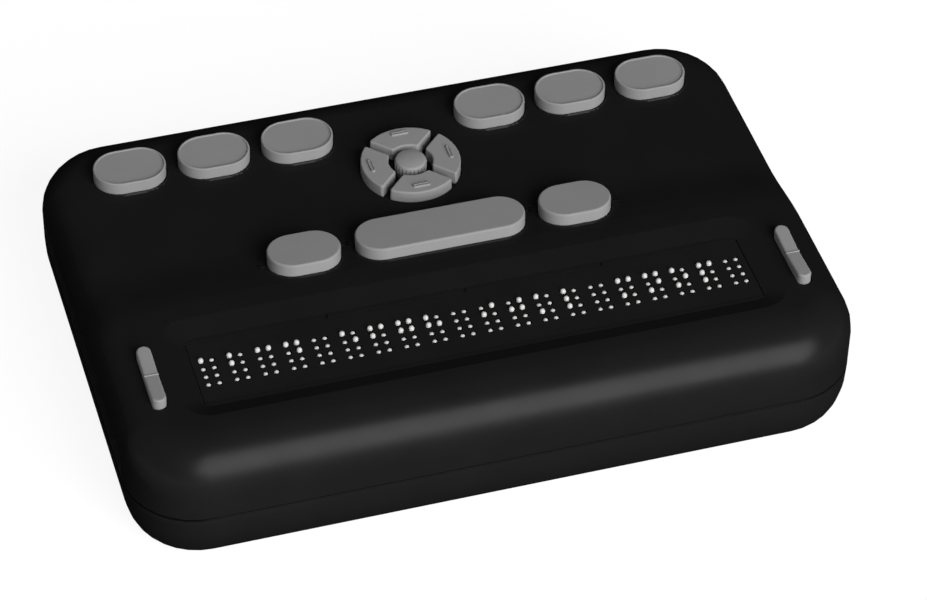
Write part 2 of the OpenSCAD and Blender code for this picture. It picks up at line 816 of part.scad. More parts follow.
module battery_door() {
  color(CASE) difference() {
    translate([0, battery_y, base_z]) linear_extrude(door_t) door_plan(0);
    for (s = [-1, 1]) translate([s * door_screw_x, battery_y, base_z - 1]) {
      cylinder(r = small_r + slip, h = door_t + 2);
      cylinder(r = small_head_r + slip, h = small_head_h / 2 + 1);
    }
  }
}

// Screw whose head lies under its shank
module screw(r, head, head_t, grip) {
  difference() {
    union() {
      cylinder(r = head, h = head_t);
      cylinder(r = r, h = head_t + grip);
    }
    translate([0, 0, -1]) cylinder(r = head / 2, h = 1 + head_t / 2, $fn = 6);
  }
}

module battery_door_screws() {
  color(METAL) for (s = [-1, 1]) translate([s * door_screw_x, battery_y, base_z])
    screw(small_r, small_head_r, small_head_h / 2, door_t + 1.6);
}

module case_screws() {
  color(METAL) for (p = CASE_POSTS) translate([p.x, p.y, base_z + head_sink])
    screw(screw_r, head_r, head_h, lower_h - head_sink - head_h + screw_reach);
}

module rubber_feet() {
  color(RUBBER) for (sx = [-1, 1], sy = [-1, 1])
    translate([sx * (case_w / 2 - foot_side), sy * (case_d / 2 - foot_end), 0])
      cylinder(r = foot_r, h = foot_h);
}

// Place of a dot of a cell, seen from above
function dot_xy(cell, row, col) = [
  (cell - (cell_n - 1) / 2) * cell_pitch + (col - 0.5) * dot_pitch,
  line_y + (1.5 - row) * dot_pitch
];
function letter_dots(cell) =
  cell % GROUP == GROUP - 1 ? [] : LETTERS[(cell - floor(cell / GROUP)) % len(LETTERS)];
function is_up(cell, row, col) = len(search(DOT_GRID[row][col], letter_dots(cell))) > 0;

module reading_plate() {
  color(PLATE) difference() {
    union() {
      translate([-plate_w / 2, line_y - plate_d / 2, plate_bottom]) cube([plate_w, plate_d, plate_t]);
      translate([-plate_w / 2 - plate_flange, line_y - plate_d / 2 - plate_flange, plate_bottom])
        cube([plate_w + 2 * plate_flange, plate_d + 2 * plate_flange, flange_t]);
    }
    for (c = [0 : cell_n - 1], row = [0 : 3], col = [0, 1])
      translate([each dot_xy(c, row, col), plate_bottom - 1]) cylinder(r = pin_r + pin_gap, h = plate_t + 2);
  }
}

module braille_cells() {
  w = cell_pitch - cell_gap;
  color(CELL) for (c = [0 : cell_n - 1]) difference() {
    translate([(c - (cell_n - 1) / 2) * cell_pitch - w / 2, line_y - cell_d / 2, cell_board_z])
      cube([w, cell_d, cell_h]);
    for (row = [0 : 3], col = [0, 1]) translate([each dot_xy(c, row, col), plate_bottom - pin_bore_depth])
      cylinder(r = pin_r + pin_gap, h = pin_bore_depth + 1);
  }
}

module braille_pins(up) {
  z = plate_z + pin_tip - pin_l + (up ? pin_lift : 0);
  color(PIN) for (c = [0 : cell_n - 1], row = [0 : 3], col = [0, 1])
    if (is_up(c, row, col) == up) translate([each dot_xy(c, row, col), z]) rotate_extrude() intersection() {
      union() {
        square([pin_r, pin_l - pin_r]);
        translate([0, pin_l - pin_r]) circle(pin_r);
      }
      square([pin_r, pin_l]);
    }
}

module cell_board() {
  color(BOARD) difference() {
    translate([-cell_board_w / 2, line_y - cell_d / 2, cell_board_z - board_t])
      cube([cell_board_w, cell_d, board_t]);
    for (p = CELL_POSTS) translate([p.x, p.y, cell_board_z - board_t - 1])
      cylinder(r = small_r + slip, h = board_t + 2);
  }
}

module cell_board_screws() {
  color(METAL) for (p = CELL_POSTS) translate([p.x, p.y, cell_board_z + small_head_h]) mirror([0, 0, 1])
    screw(small_r, small_head_r, small_head_h, small_grip);
}

// Keyboard with two arms that pass the braille line and carry the rockers' switches
module key_board() {
  wide = rocker_x + arm_w / 2;
  narrow = rocker_x - arm_w / 2;
  front = main_front - board_margin;
  arm_end = rocker_y - rocker_l / 2;
  color(BOARD) difference() {
    translate([0, 0, board_top - board_t]) linear_extrude(board_t) {
      translate([-wide, front]) square([2 * wide, pad_y - front]);
      translate([-narrow, front]) square([2 * narrow, dot_row_y + switch_w / 2 + board_margin - front]);
      for (s = [-1, 1]) translate([s * rocker_x - arm_w / 2, arm_end]) square([arm_w, front + 1 - arm_end]);
    }
    for (p = KEY_POSTS) translate([p.x, p.y, board_top - board_t - 1])
      cylinder(r = small_r + slip, h = board_t + 2);
  }
}

module key_board_screws() {
  color(METAL) for (p = KEY_POSTS) translate([p.x, p.y, board_top - board_t - small_head_h])
    screw(small_r, small_head_r, small_head_h, small_grip);
}

// Push switch on the keyboard, whose plunger is as tall as its key asks
module push_switch(x, y, top) {
  translate([x - switch_w / 2, y - switch_w / 2, board_top]) cube([switch_w, switch_w, switch_body_h]);
  translate([x, y, board_top]) cylinder(r = switch_w / 4, h = top - board_top);
}

module key_switches() {
  space_press_y = space_row_y - stem_depth * sin(space_tilt);
  space_press_z = deck_z(space_row_y) - (stem_depth + key_travel) * cos(space_tilt)
    - stem_r * sin(space_tilt) - press_gap;
  color(DARK) {
    for (i = [0 : 5]) push_switch(dot_x(i), dot_row_y, press_z);
    for (x = [-side_key_x, -space_w / 4, space_w / 4, side_key_x])
      push_switch(x, space_press_y, space_press_z);
    for (i = [0 : 3]) push_switch(pad_mid_r * cos(90 * i), pad_y + pad_mid_r * sin(90 * i), press_z);
    push_switch(0, pad_y, press_z);
  }
}

module rocker_switches() {
  top = rocker_foot_z - (rocker_foot_y + rocker_foot_l / 2) * sin(rocker_swing) - press_gap;
  color(DARK) for (sx = [-1, 1], sy = [-1, 1])
    push_switch(sx * rocker_x, rocker_y + sy * rocker_foot_y, top);
}

module main_board() {
  color(BOARD) difference() {
    translate([-main_w / 2, main_front, main_z]) cube([main_w, main_back - main_front, board_t]);
    for (p = MAIN_POSTS) translate([p.x, p.y, main_z - 1]) cylinder(r = small_r + slip, h = board_t + 2);
    for (p = CASE_POSTS) translate([p.x, p.y, main_z - 1]) cylinder(r = boss_r + key_gap, h = board_t + 2);
    translate([power_x - power_flange_r - key_gap, power_press_y - plunger_l, main_z - 1])
      cube([2 * (power_flange_r + key_gap), 3 * wall, board_t + 2]);
  }
}

module main_board_screws() {
  color(METAL) for (p = MAIN_POSTS) translate([p.x, p.y, main_top + small_head_h]) mirror([0, 0, 1])
    screw(small_r, small_head_r, small_head_h, board_t + 1.2);
}

module processor_chip() {
  color(DARK) translate([each CHIP_AT, main_top]) cube(CHIP);
}

module radio_shield() {
  color(METAL) translate([each SHIELD_AT, main_top]) cube(SHIELD);
}

module usb_socket() {
  foot = case_d / 2 - usb_sink - main_back;
  color(METAL) translate([usb_x, case_d / 2 - usb_sink, rear_z]) rotate([90, 0, 0]) difference() {
    union() {
      linear_extrude(usb_size.y) stadium(usb_size.x, usb_size.z);
      translate([-usb_size.x / 2, main_top - rear_z, foot])
        cube([usb_size.x, rear_z - main_top, usb_size.y - foot]);
    }
    translate([0, 0, -1]) linear_extrude(usb_size.y + 1 - usb_end)
      stadium(usb_size.x - 2 * usb_wall, usb_size.z - 2 * usb_wall);
  }
}

module card_socket() {
  color(METAL) translate([card_x, main_back, main_top]) difference() {
    translate([-card_size.x / 2, -card_size.y, 0]) cube(card_size);
    translate([-card_slot_w / 2, -card_size.y + card_end, rear_z - main_top - card_slot_h / 2])
      cube([card_slot_w, card_size.y, card_slot_h]);
  }
}

module power_button() {
  color(KEY) translate([power_x, power_back_y - power_flange_t, rear_z]) rotate([-90, 0, 0]) {
    cylinder(r = power_r, h = case_d / 2 - power_sink - power_back_y + power_flange_t);
    cylinder(r = power_flange_r, h = power_flange_t);
  }
}

module power_switch() {
  color(DARK) translate([power_x, power_press_y, main_top]) {
    translate([-switch_w / 2, -plunger_l - power_switch_d, 0]) cube([switch_w, power_switch_d, switch_h]);
    translate([0, -plunger_l - 1, rear_z - main_top]) rotate([-90, 0, 0])
      cylinder(r = plunger_r, h = plunger_l + 1);
  }
}

module battery_pack() {
  color(FOIL) translate([-battery_w / 2, battery_y - battery_d / 2, base_z + door_t + slip])
    cube([battery_w, battery_d, battery_t]);
}

module battery_contacts() {
  color(METAL) for (i = [-1 : 1])
    translate([i * contact_pitch - contact_w / 2, battery_y + battery_d / 2, contact_z])
      cube([contact_w, contact_l, contact_t]);
}

module ribbon_connectors() {
  size = [flex_w + 4, flex_socket_d, flex_socket_h];
  y = main_front + 1;
  color(DARK) {
    translate([-size.x / 2, y, board_top - board_t - size.z]) cube(size);
    translate([-size.x / 2, y, main_top]) cube(size);
    translate([cell_flex_x - size.x / 2, y, main_top]) cube(size);
    translate([cell_flex_x - size.x / 2, line_y + cell_d / 2 - size.y, cell_board_z - board_t - size.z])
      cube(size);
  }
}

module ribbon_cables() {
  y = main_front + 1;
  top = cell_board_z - board_t - flex_socket_h / 2;
  low = main_top + flex_socket_h / 2;
  start = line_y + cell_d / 2;
  bend = (start + y) / 2;
  color(FLEX) {
    translate([-flex_w / 2, y + flex_socket_d / 2, main_top + flex_socket_h])
      cube([flex_w, flex_t, board_top - board_t - main_top - 2 * flex_socket_h]);
    translate([cell_flex_x - flex_w / 2, 0, 0]) rotate([90, 0, 90]) linear_extrude(flex_w) polygon([
      [start, top], [bend, top], [y, low], [y, low + flex_t], [bend, top + flex_t], [start, top + flex_t]
    ]);
  }
}

top_cover();
bottom_cover();
battery_door();
battery_door_screws();
case_screws();
rubber_feet();
reading_plate();
braille_cells();
cell_board();
cell_board_screws();
braille_pins(true);  // raised_pins
braille_pins(false);  // lowered_pins
dot_key(0);  // dot_1_key
dot_key(1);  // dot_2_key
dot_key(2);  // dot_3_key
dot_key(3);  // dot_4_key
dot_key(4);  // dot_5_key
dot_key(5);  // dot_6_key
space_row_key(0);  // dot_7_key
space_row_key(1);  // space_key
space_row_key(2);  // dot_8_key
cursor_key(0);  // cursor_right_key
cursor_key(1);  // cursor_up_key
cursor_key(2);  // cursor_left_key
cursor_key(3);  // cursor_down_key
select_key();
rocker(-1);  // left_rocker
rocker(1);  // right_rocker
rocker_pins();
key_board();
key_board_screws();
key_switches();
rocker_switches();
main_board();
main_board_screws();
processor_chip();
radio_shield();
usb_socket();
card_socket();
power_button();
power_switch();
battery_pack();
battery_contacts();
ribbon_connectors();
ribbon_cables();
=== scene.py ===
"""Looks of a portable braille display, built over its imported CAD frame.

Sizes are in millimetres, and the bench turns them into metres. X runs along the braille line to the
user's right, Y from the front edge to the back, and Z up from the plane of the feet.
"""

from __future__ import annotations

import logging
import math
from dataclasses import dataclass
from enum import Enum
from typing import Callable, NamedTuple, Sequence

import bmesh
import bpy
from mathutils import Matrix, Vector

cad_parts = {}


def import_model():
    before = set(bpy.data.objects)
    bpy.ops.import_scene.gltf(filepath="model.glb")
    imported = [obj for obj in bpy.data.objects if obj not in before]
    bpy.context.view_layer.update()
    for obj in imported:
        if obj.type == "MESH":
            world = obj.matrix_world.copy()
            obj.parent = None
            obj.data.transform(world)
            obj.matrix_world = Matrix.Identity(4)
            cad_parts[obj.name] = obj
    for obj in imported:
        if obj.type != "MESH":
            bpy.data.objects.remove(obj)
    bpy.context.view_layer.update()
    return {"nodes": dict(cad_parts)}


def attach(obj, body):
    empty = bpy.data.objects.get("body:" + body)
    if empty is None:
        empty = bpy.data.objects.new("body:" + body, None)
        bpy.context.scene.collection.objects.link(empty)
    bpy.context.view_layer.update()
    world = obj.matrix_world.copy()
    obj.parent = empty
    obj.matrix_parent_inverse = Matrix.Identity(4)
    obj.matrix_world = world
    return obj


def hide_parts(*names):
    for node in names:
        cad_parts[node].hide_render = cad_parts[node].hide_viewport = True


Piece = bpy.types.Object
Socket = bpy.types.NodeSocket
MeshItem = bmesh.types.BMVert | bmesh.types.BMEdge | bmesh.types.BMFace
Color = tuple[float, float, float]
Point = tuple[float, float, float]
Range = tuple[float, float]

LOG = logging.getLogger("braille_display")
MM = 0.001
HAIR = 0.01

# Selection: an outline edge's least turn in degrees, and the cosines of an upright and a level way.
OUTLINE_TURN = 60.0
UPRIGHT = 0.9
LEVEL = 0.99

# Facets of a rounded edge that shows, of a lesser one, and of a small or hidden one.
FINE = 4
MEDIUM = 3
COARSE = 2

# Shading: edges of small pieces stay sharp where they turn by more degrees than this.
SMOOTH_TURN = 35.0

# Patterns: where most values of a noise lie, and the painted shade on both sides of the case's joint line.
NOISE_ENDS = (0.3, 0.7)
SEAM_REACH = 0.3
SEAM_FADE = 1.2
SEAM_SHADE = 0.35

# Nodes: a wave's period at scale 1, and the colour sockets of a Mix node.
WAVE_PERIOD = math.pi / 10
MIX_A = 6
MIX_B = 7
MIX_RESULT = 2


def metres(values: Sequence[float]) -> tuple[float, ...]:
    """Turns millimetres into metres."""
    return tuple(v * MM for v in values)


def move(x: float, y: float, z: float) -> Matrix:
    """Matrix of a move in millimetres."""
    return Matrix.Translation(metres((x, y, z)))


def turn(degrees: float, axis: str) -> Matrix:
    """Matrix of a turn about X, Y or Z."""
    return Matrix.Rotation(math.radians(degrees), 4, axis)


class Spot(NamedTuple):
    """Where a vertex, an edge or a face of a piece is.

    at is its middle in millimetres, way its normal or an edge's direction, and turn the angle in
    degrees between an edge's two faces.
    """

    at: Vector
    way: Vector
    turn: float = 0.0

    @classmethod
    def of(cls, item: MeshItem) -> Spot:
        """Finds the spot of an item of a mesh.

        Args:
            item: Vertex, edge or face.

        Returns:
            Its spot.
        """
        if isinstance(item, bmesh.types.BMVert):
            return cls(item.co / MM, item.normal)
        if isinstance(item, bmesh.types.BMFace):
            return cls(item.calc_center_median() / MM, item.normal)
        a, b = (v.co for v in item.verts)
        return cls((a + b) / (2 * MM), (b - a).normalized(), math.degrees(item.calc_face_angle(0.0)))


Test = Callable[[Spot], bool]


class Edit:
    """Edit mode on one piece, with selection by place and operators in millimetres."""

    def __init__(self, piece: Piece) -> None:
        """Keeps the piece that the block works on."""
        self.piece = piece

    def __enter__(self) -> Edit:
        """Opens edit mode with nothing selected.

        Returns:
            This editor.
        """
        Bench.activate(self.piece)
        bpy.ops.object.mode_set(mode="EDIT")
        bpy.ops.mesh.select_all(action="DESELECT")
        return self

    def __exit__(self, *error: object) -> None:
        """Goes back to object mode."""
        bpy.ops.object.mode_set(mode="OBJECT")

    def _choose(self, kind: str, test: Test) -> None:
        """Selects the vertices, edges or faces that pass a test.

        Args:
            kind: VERT, EDGE or FACE.
            test: Says from a spot whether it is chosen.
        """
        bpy.ops.mesh.select_mode(type=kind)
        bpy.ops.mesh.select_all(action="DESELECT")
        mesh = bmesh.from_edit_mesh(self.piece.data)
        mesh.normal_update()
        items = {"VERT": mesh.verts, "EDGE": mesh.edges, "FACE": mesh.faces}[kind]
        chosen = [item for item in items if test(Spot.of(item))]
        if not chosen:
            raise ValueError(f"nothing to select on {self.piece.name}")
        for item in chosen:
            item.select_set(True)
        mesh.select_flush_mode()
        bmesh.update_edit_mesh(self.piece.data)

    def verts(self, test: Test) -> None:
        """Selects the vertices that pass a test."""
        self._choose("VERT", test)

    def edges(self, test: Test) -> None:
        """Selects the edges that pass a test."""
        self._choose("EDGE", test)

    def faces(self, test: Test) -> None:
        """Selects the faces that pass a test."""
        self._choose("FACE", test)

    def top_faces(self, height: float) -> None:
        """Selects the faces that look up, at a height or over it."""
        self.faces(lambda s: s.way.z > LEVEL and s.at.z > height - HAIR)

    def everything(self) -> None:
        """Selects the whole mesh."""
        bpy.ops.mesh.select_all(action="SELECT")

    def bevel(self, width: float, segments: int) -> None:
        """Rounds the selected edges."""
        bpy.ops.mesh.bevel(offset=width * MM, segments=segments, profile=0.5, clamp_overlap=False)

    def extrude(self, by: Sequence[float]) -> None:
        """Extrudes the selection and moves it."""
        bpy.ops.mesh.extrude_region_move(TRANSFORM_OT_translate={"value": metres(by)})

    def inset(self, width: float) -> None:
        """Insets the selected faces."""
        bpy.ops.mesh.inset(thickness=width * MM)

    def raise_by(self, height: float) -> None:
        """Moves the selection up, or down by a negative height."""
        bpy.ops.transform.translate(value=metres((0, 0, height)))

    def widen(self, size: Sequence[float], by: float) -> None:
        """Scales the selection about the Z axis, so that each side of a size moves out."""
        factors = [1 + 2 * by / side for side in size]
        bpy.ops.transform.resize(value=(*factors, 1.0), center_override=(0.0, 0.0, 0.0))

    def bisect(
        self, at: Sequence[float], normal: Sequence[float], clear: bool = False, near: float = 0.1
    ) -> None:
        """Cuts the whole mesh with a plane.

        Args:
            at: Point of the plane.
            normal: Direction of the side that a clearing cut removes.
            clear: Whether that side goes and the cut is closed.
            near: Points closer to the plane than this count as lying on it.
        """
        self.everything()
        bpy.ops.mesh.bisect(
            plane_co=metres(at),
            plane_no=Vector(normal).normalized(),
            use_fill=clear,
            clear_outer=clear,
            threshold=near * MM,
        )

    def flatten_top(self, height: float) -> None:
        """Joins the faces that look up into one, at a height or over it."""
        self.top_faces(height)
        bpy.ops.mesh.dissolve_faces()

    def merge(self) -> None:
        """Merges doubled vertices of the whole mesh."""
        self.everything()
        bpy.ops.mesh.remove_doubles(threshold=HAIR * MM / 4)

    def close(self) -> None:
        """Merges doubled vertices and turns all faces outwards."""
        self.merge()
        bpy.ops.mesh.normals_make_consistent(inside=False)

    def round_edges(self, width: float, segments: int, test: Test) -> None:
        """Rounds the edges that pass a test."""
        self.edges(test)
        self.bevel(width, segments)

    def round_top(self, height: float, width: float, segments: int) -> None:
        """Rounds the outline edges at a height and over it."""
        self.round_edges(width, segments, lambda s: s.at.z > height - HAIR and s.turn > OUTLINE_TURN)

    def round_foot(self, height: float, width: float, segments: int) -> None:
        """Rounds the outline edges at a height and under it."""
        self.round_edges(width, segments, lambda s: s.at.z < height + HAIR and s.turn > OUTLINE_TURN)

    def round_ends(self, width: float, segments: int, from_y: float = -math.inf) -> None:
        """Rounds the upright edges past a place along Y until they meet."""
        self.round_edges(width, segments, lambda s: abs(s.way.z) > UPRIGHT and s.at.y > from_y)
        self.merge()

    def flange(self, low: float, thick: float, size: Sequence[float], out: float) -> None:
        """Adds a flange under a piece.

        Args:
            low: Height of the piece's underside.
            thick: Thickness of the flange.
            size: Size of the piece along X and Y.
            out: How far the flange stands out.
        """
        self.faces(lambda s: s.way.z < -UPRIGHT)
        self.extrude((0, 0, -HAIR))
        self.extrude((0, 0, -thick))
        self.verts(lambda s: s.at.z < low - HAIR / 2)
        self.widen(size, out)

    def dish(self, rim: float, height: float) -> None:
        """Moves the selected face up or down within a flat rim.

        Args:
            rim: Width of the rim.
            height: The move, and the width of the slope to it.
        """
        self.inset(rim)
        self.inset(abs(height))
        self.raise_by(height)


class Bench:
    """Modelling bench: primitives, copies and modifiers, with lengths in millimetres."""

    @staticmethod
    def clear() -> None:
        """Deselects every object."""
        bpy.ops.object.select_all(action="DESELECT")

    @staticmethod
    def activate(piece: Piece) -> None:
        """Makes a piece the only selected and active object.

        Args:
            piece: The piece.
        """
        Bench.clear()
        piece.select_set(True)
        bpy.context.view_layer.objects.active = piece

    @staticmethod
    def start(name: str, primitive: Callable, factors: Sequence[float], **settings: object) -> Piece:
        """Adds a primitive under a name and puts its size and place in its mesh.

        Args:
            name: Name of the piece.
            primitive: Operator that adds it.
            factors: Scale of its three sides.
            settings: The operator's settings.

        Returns:
            The new object.
        """
        Bench.clear()
        primitive(**settings)
        piece = bpy.context.object
        piece.name = name
        piece.data.name = name
        piece.scale = factors
        bpy.ops.object.transform_apply(location=True, rotation=True, scale=True)
        return piece

    @staticmethod
    def block(name: str, size: Sequence[float], centre: Sequence[float]) -> Piece:
        """Starts a piece from a cube with these sides and this middle."""
        cube = bpy.ops.mesh.primitive_cube_add
        return Bench.start(name, cube, metres(size), size=1.0, location=metres(centre))

    @staticmethod
    def rod(name: str, radius: float, ends: Range, sides: int, at: Range = (0.0, 0.0)) -> Piece:
        """Starts a piece from an upright cylinder.

        Args:
            name: Name of the piece.
            radius: Its radius.
            ends: Heights of its lower and upper end.
            sides: Number of sides.
            at: Its place seen from above.

        Returns:
            The new object.
        """
        low, high = ends
        bar = {"radius": radius * MM, "depth": (high - low) * MM, "vertices": sides}
        middle = metres((*at, (low + high) / 2))
        cylinder = bpy.ops.mesh.primitive_cylinder_add
        return Bench.start(name, cylinder, (1.0, 1.0, 1.0), location=middle, **bar)

    @staticmethod
    def copy(piece: Piece, name: str, place: Matrix) -> Piece:
        """Copies a piece with a mesh of its own.

        Args:
            piece: Piece to copy.
            name: Name of the copy.
            place: Where the copy goes, as a matrix in metres.

        Returns:
            The copy, with its place in its mesh.
        """
        twin = bpy.data.objects.new(name, piece.data.copy())
        twin.data.name = name
        twin.data.transform(place)
        bpy.context.scene.collection.objects.link(twin)
        return twin

    @staticmethod
    def join(piece: Piece, others: Sequence[Piece]) -> None:
        """Joins other objects into a piece.

        Args:
            piece: Piece that stays.
            others: Objects that become part of it.
        """
        Bench.activate(piece)
        for other in others:
            other.select_set(True)
        bpy.ops.object.join()

    @staticmethod
    def modify(piece: Piece, kind: str, **settings: object) -> None:
        """Adds a modifier to a piece and applies it.

        Args:
            piece: Piece to change.
            kind: Blender's type of modifier.
            settings: Its settings.
        """
        Bench.activate(piece)
        step = piece.modifiers.new(kind.title(), kind)
        for key, value in settings.items():
            setattr(step, key, value)
        bpy.ops.object.modifier_apply(modifier=step.name)

    @staticmethod
    def cut(piece: Piece, tool: Piece) -> None:
        """Cuts a tool out of a piece and deletes the tool."""
        Bench.modify(piece, "BOOLEAN", operation="DIFFERENCE", solver="EXACT", object=tool)
        Bench.discard(tool)

    @staticmethod
    def discard(*pieces: Piece) -> None:
        """Deletes masters or tools that aren't needed any more."""
        for piece in pieces:
            bpy.data.objects.remove(piece)

    @staticmethod
    def smooth(piece: Piece, degrees: float = SMOOTH_TURN, crease: Test | None = None) -> None:
        """Shades a piece smoothly over its small angles, and evenly over its large faces.

        Args:
            piece: Piece to shade.
            degrees: Edges that turn by more than this stay sharp.
            crease: Picks edges that turn by less and stay sharp too.
        """
        Bench.activate(piece)
        bpy.ops.object.shade_smooth_by_angle(angle=math.radians(degrees))
        if crease:
            with Edit(piece) as edit:
                edit.edges(crease)
                bpy.ops.mesh.mark_sharp()
        Bench.modify(piece, "WEIGHTED_NORMAL", keep_sharp=True)


class Graph:
    """Node tree that grows node by node."""

    def __init__(self, tree: bpy.types.NodeTree) -> None:
        """Keeps the tree."""
        self.tree = tree

    def feed(self, target: Socket, value: object) -> None:
        """Links another node's output to an input, or gives the input a constant.

        Args:
            target: The input.
            value: Output or constant.
        """
        if isinstance(value, Socket):
            self.tree.links.new(value, target)
        else:
            target.default_value = value

    def add(
        self, kind: str, inputs: dict[str | int, object] | None = None, **settings: object
    ) -> bpy.types.bpy_prop_collection:
        """Adds a node.

        Args:
            kind: Blender's type of node, without the words that all types start with.
            inputs: What each of its inputs is fed with.
            settings: Its settings.

        Returns:
            The node's outputs.
        """
        node = self.tree.nodes.new(f"ShaderNode{kind}")
        for key, value in settings.items():
            setattr(node, key, value)
        for key, value in (inputs or {}).items():
            self.feed(node.inputs[key], value)
        return node.outputs

    def math(self, operation: str, first: object, second: object = 0.0) -> Socket:
        """Adds an operation on one or two values and returns its result."""
        return self.add("Math", {0: first, 1: second}, operation=operation)[0]


def blank_material(name: str) -> bpy.types.Material:
    """Makes a material with an empty node tree.

    Args:
        name: Name of the material.

    Returns:
        The material.
    """
    material = bpy.data.materials.new(name)
    material.use_nodes = True
    material.node_tree.nodes.clear()
    return material


class Noise(NamedTuple):
    """A noise: size of its clouds, number of finer layers and factor of its rate along each axis."""

    size: float
    detail: float
    stretch: Point = (1.0, 1.0, 1.0)


class Recipe(Graph):
    """Principled material, with its patterns on Object coordinates."""

    def __init__(self, name: str) -> None:
        """Starts the material.

        Args:
            name: Its name.
        """
        self.material = blank_material(name)
        super().__init__(self.material.node_tree)
        self.shader = self.tree.nodes.new("ShaderNodeBsdfPrincipled")
        self.add("OutputMaterial", {"Surface": self.shader.outputs["BSDF"]})
        self.place = self.add("TexCoord")["Object"]

    def finish(self, **inputs: object) -> None:
        """Feeds the shader's own inputs, named with underscores for spaces."""
        for name, value in inputs.items():
            self.feed(self.shader.inputs[name.replace("_", " ")], value)

    def noise(self, noise: Noise) -> Socket:
        """Adds a cloudy pattern.

        Args:
            noise: Size, layers and rates of the clouds.

        Returns:
            Socket that runs from 0 to 1.
        """
        place = self.add("Mapping", {"Vector": self.place, "Scale": noise.stretch})["Vector"]
        clouds = {"Vector": place, "Scale": 1 / (noise.size * MM), "Detail": noise.detail}
        return self.add("TexNoise", clouds)["Fac"]

    def spread(self, source: Socket, values: Range) -> Socket:
        """Maps the middle of a pattern to a range of values."""
        ends = dict(zip(("From Min", "From Max", "To Min", "To Max"), NOISE_ENDS + values))
        return self.add("MapRange", {"Value": source, **ends})["Result"]

    def tint(self, source: Socket, dark: Color, light: Color, ends: Range = NOISE_ENDS) -> Socket:
        """Colours a pattern.

        Args:
            source: Pattern from 0 to 1.
            dark: Colour of its dark end.
            light: Colour of its light end.
            ends: Pattern values where the two colours are reached.

        Returns:
            Colour socket.
        """
        node = self.tree.nodes.new("ShaderNodeValToRGB")
        for stop, place, color in zip(node.color_ramp.elements, ends, (dark, light)):
            stop.position = place
            stop.color = (*color, 1.0)
        self.feed(node.inputs["Fac"], source)
        return node.outputs["Color"]

    def painted_seam_shade(self, color: Socket, height: float) -> Socket:
        """Paints shade into a colour along a level joint line, darkest in its groove.

        Args:
            color: Colour of the surface.
            height: Height of the joint line in millimetres.

        Returns:
            Colour socket.
        """
        # Painted shade: the colour is scaled down to SEAM_SHADE near the joint line and fades back to full
        # beyond it.
        z = self.add("SeparateXYZ", {"Vector": self.place})["Z"]
        away = self.math("ABSOLUTE", self.math("SUBTRACT", z, height * MM))
        reach = {"From Min": SEAM_REACH * MM, "From Max": SEAM_FADE * SEAM_REACH * MM}
        seam_shade_factor = self.add("MapRange", {"Value": away, "To Min": SEAM_SHADE, **reach})["Result"]
        return self.add("VectorMath", {"Vector": color, "Scale": seam_shade_factor}, operation="SCALE")["Vector"]

    def bump(self, source: Socket, height: float) -> Socket:
        """Normal of a surface that a pattern raises by its full height in millimetres."""
        return self.add("Bump", {"Strength": 1.0, "Distance": height * MM, "Height": source})["Normal"]


def shade(color: Color, factor: float) -> Color:
    """A colour made darker or lighter by a factor."""
    return tuple(min(1.0, c * factor) for c in color)


@dataclass(frozen=True, kw_only=True)
class Finish:
    """What all finishes share: a pattern of colour, worn gloss and a relief.

    shades are the factors of the colour in its dark and light clouds, and rim is the share of gloss at
    grazing angles. A near-black plastic that is partly metallic and has no rim has an even, satin gloss.
    seam is the height of a joint line whose groove gets painted shade in the colour.
    """

    color: Color
    shades: Range = (1.0, 1.0)
    clouds: Noise = Noise(14.0, 3.0)
    cloud_ends: Range = NOISE_ENDS
    roughness: Range
    worn: Noise
    relief: Noise = Noise(0.22, 1.0)
    relief_height: float
    specular: float = 0.5
    metallic: float = 0.0
    rim: float = 1.0
    seam: float = 0.0

    def material(self, name: str) -> bpy.types.Material:
        """Makes the material.

        Args:
            name: Name of its slot.

        Returns:
            The material.
        """
        recipe = Recipe(name)
        color, relief = self.patterns(recipe)
        recipe.finish(
            Base_Color=recipe.painted_seam_shade(color, self.seam) if self.seam else color,
            Roughness=recipe.spread(recipe.noise(self.worn), self.roughness),
            Normal=recipe.bump(relief, self.relief_height),
            Specular_IOR_Level=self.specular,
            Specular_Tint=(self.rim, self.rim, self.rim, 1.0),
            Metallic=self.metallic,
        )
        return recipe.material

    def patterns(self, recipe: Recipe) -> tuple[Socket, Socket]:
        """Colour and relief of the surface."""
        dark, light = (shade(self.color, factor) for factor in self.shades)
        return recipe.tint(recipe.noise(self.clouds), dark, light, self.cloud_ends), recipe.noise(self.relief)


@dataclass(frozen=True, kw_only=True)
class MouldedPlastic(Finish):
    """Plastic from a spark-eroded mould: fine grain, soft clouds of colour and gloss."""

    shades: Range = (0.94, 1.06)
    roughness: Range = (0.45, 0.55)
    worn: Noise = Noise(14.0 / 3, 4.0)
    relief_height: float = 0.004
    specular: float = 0.3


@dataclass(frozen=True, kw_only=True)
class FootRubber(Finish):
    """Black rubber with a dusty bloom and fine pores."""

    shades: Range = (1.0, 1.8)
    clouds: Noise = Noise(5.0, 4.0)
    cloud_ends: Range = (0.45, 0.75)
    roughness: Range = (0.75, 0.9)
    worn: Noise = clouds
    relief: Noise = Noise(0.35, 1.0)
    relief_height: float = 0.02
    specular: float = 0.2


@dataclass(frozen=True, kw_only=True)
class PlainSteel(Finish):
    """Bright steel with fine drawing lines and a little tarnish."""

    shades: Range = (0.85, 1.1)
    clouds: Noise = Noise(3.0, 3.0)
    roughness: Range = (0.24, 0.4)
    worn: Noise = Noise(0.12, 2.0, (0.05, 1.0, 1.0))
    relief: Noise = worn
    relief_height: float = 0.002
    metallic: float = 1.0


@dataclass(frozen=True, kw_only=True)
class ShrinkWrap(Finish):
    """Tight coloured film with shallow wrinkles."""

    shades: Range = (0.9, 1.12)
    clouds: Noise = Noise(6.0, 3.0, (0.3, 1.0, 1.0))
    roughness: Range = (0.2, 0.32)
    worn: Noise = clouds
    relief: Noise = clouds
    relief_height: float = 0.08


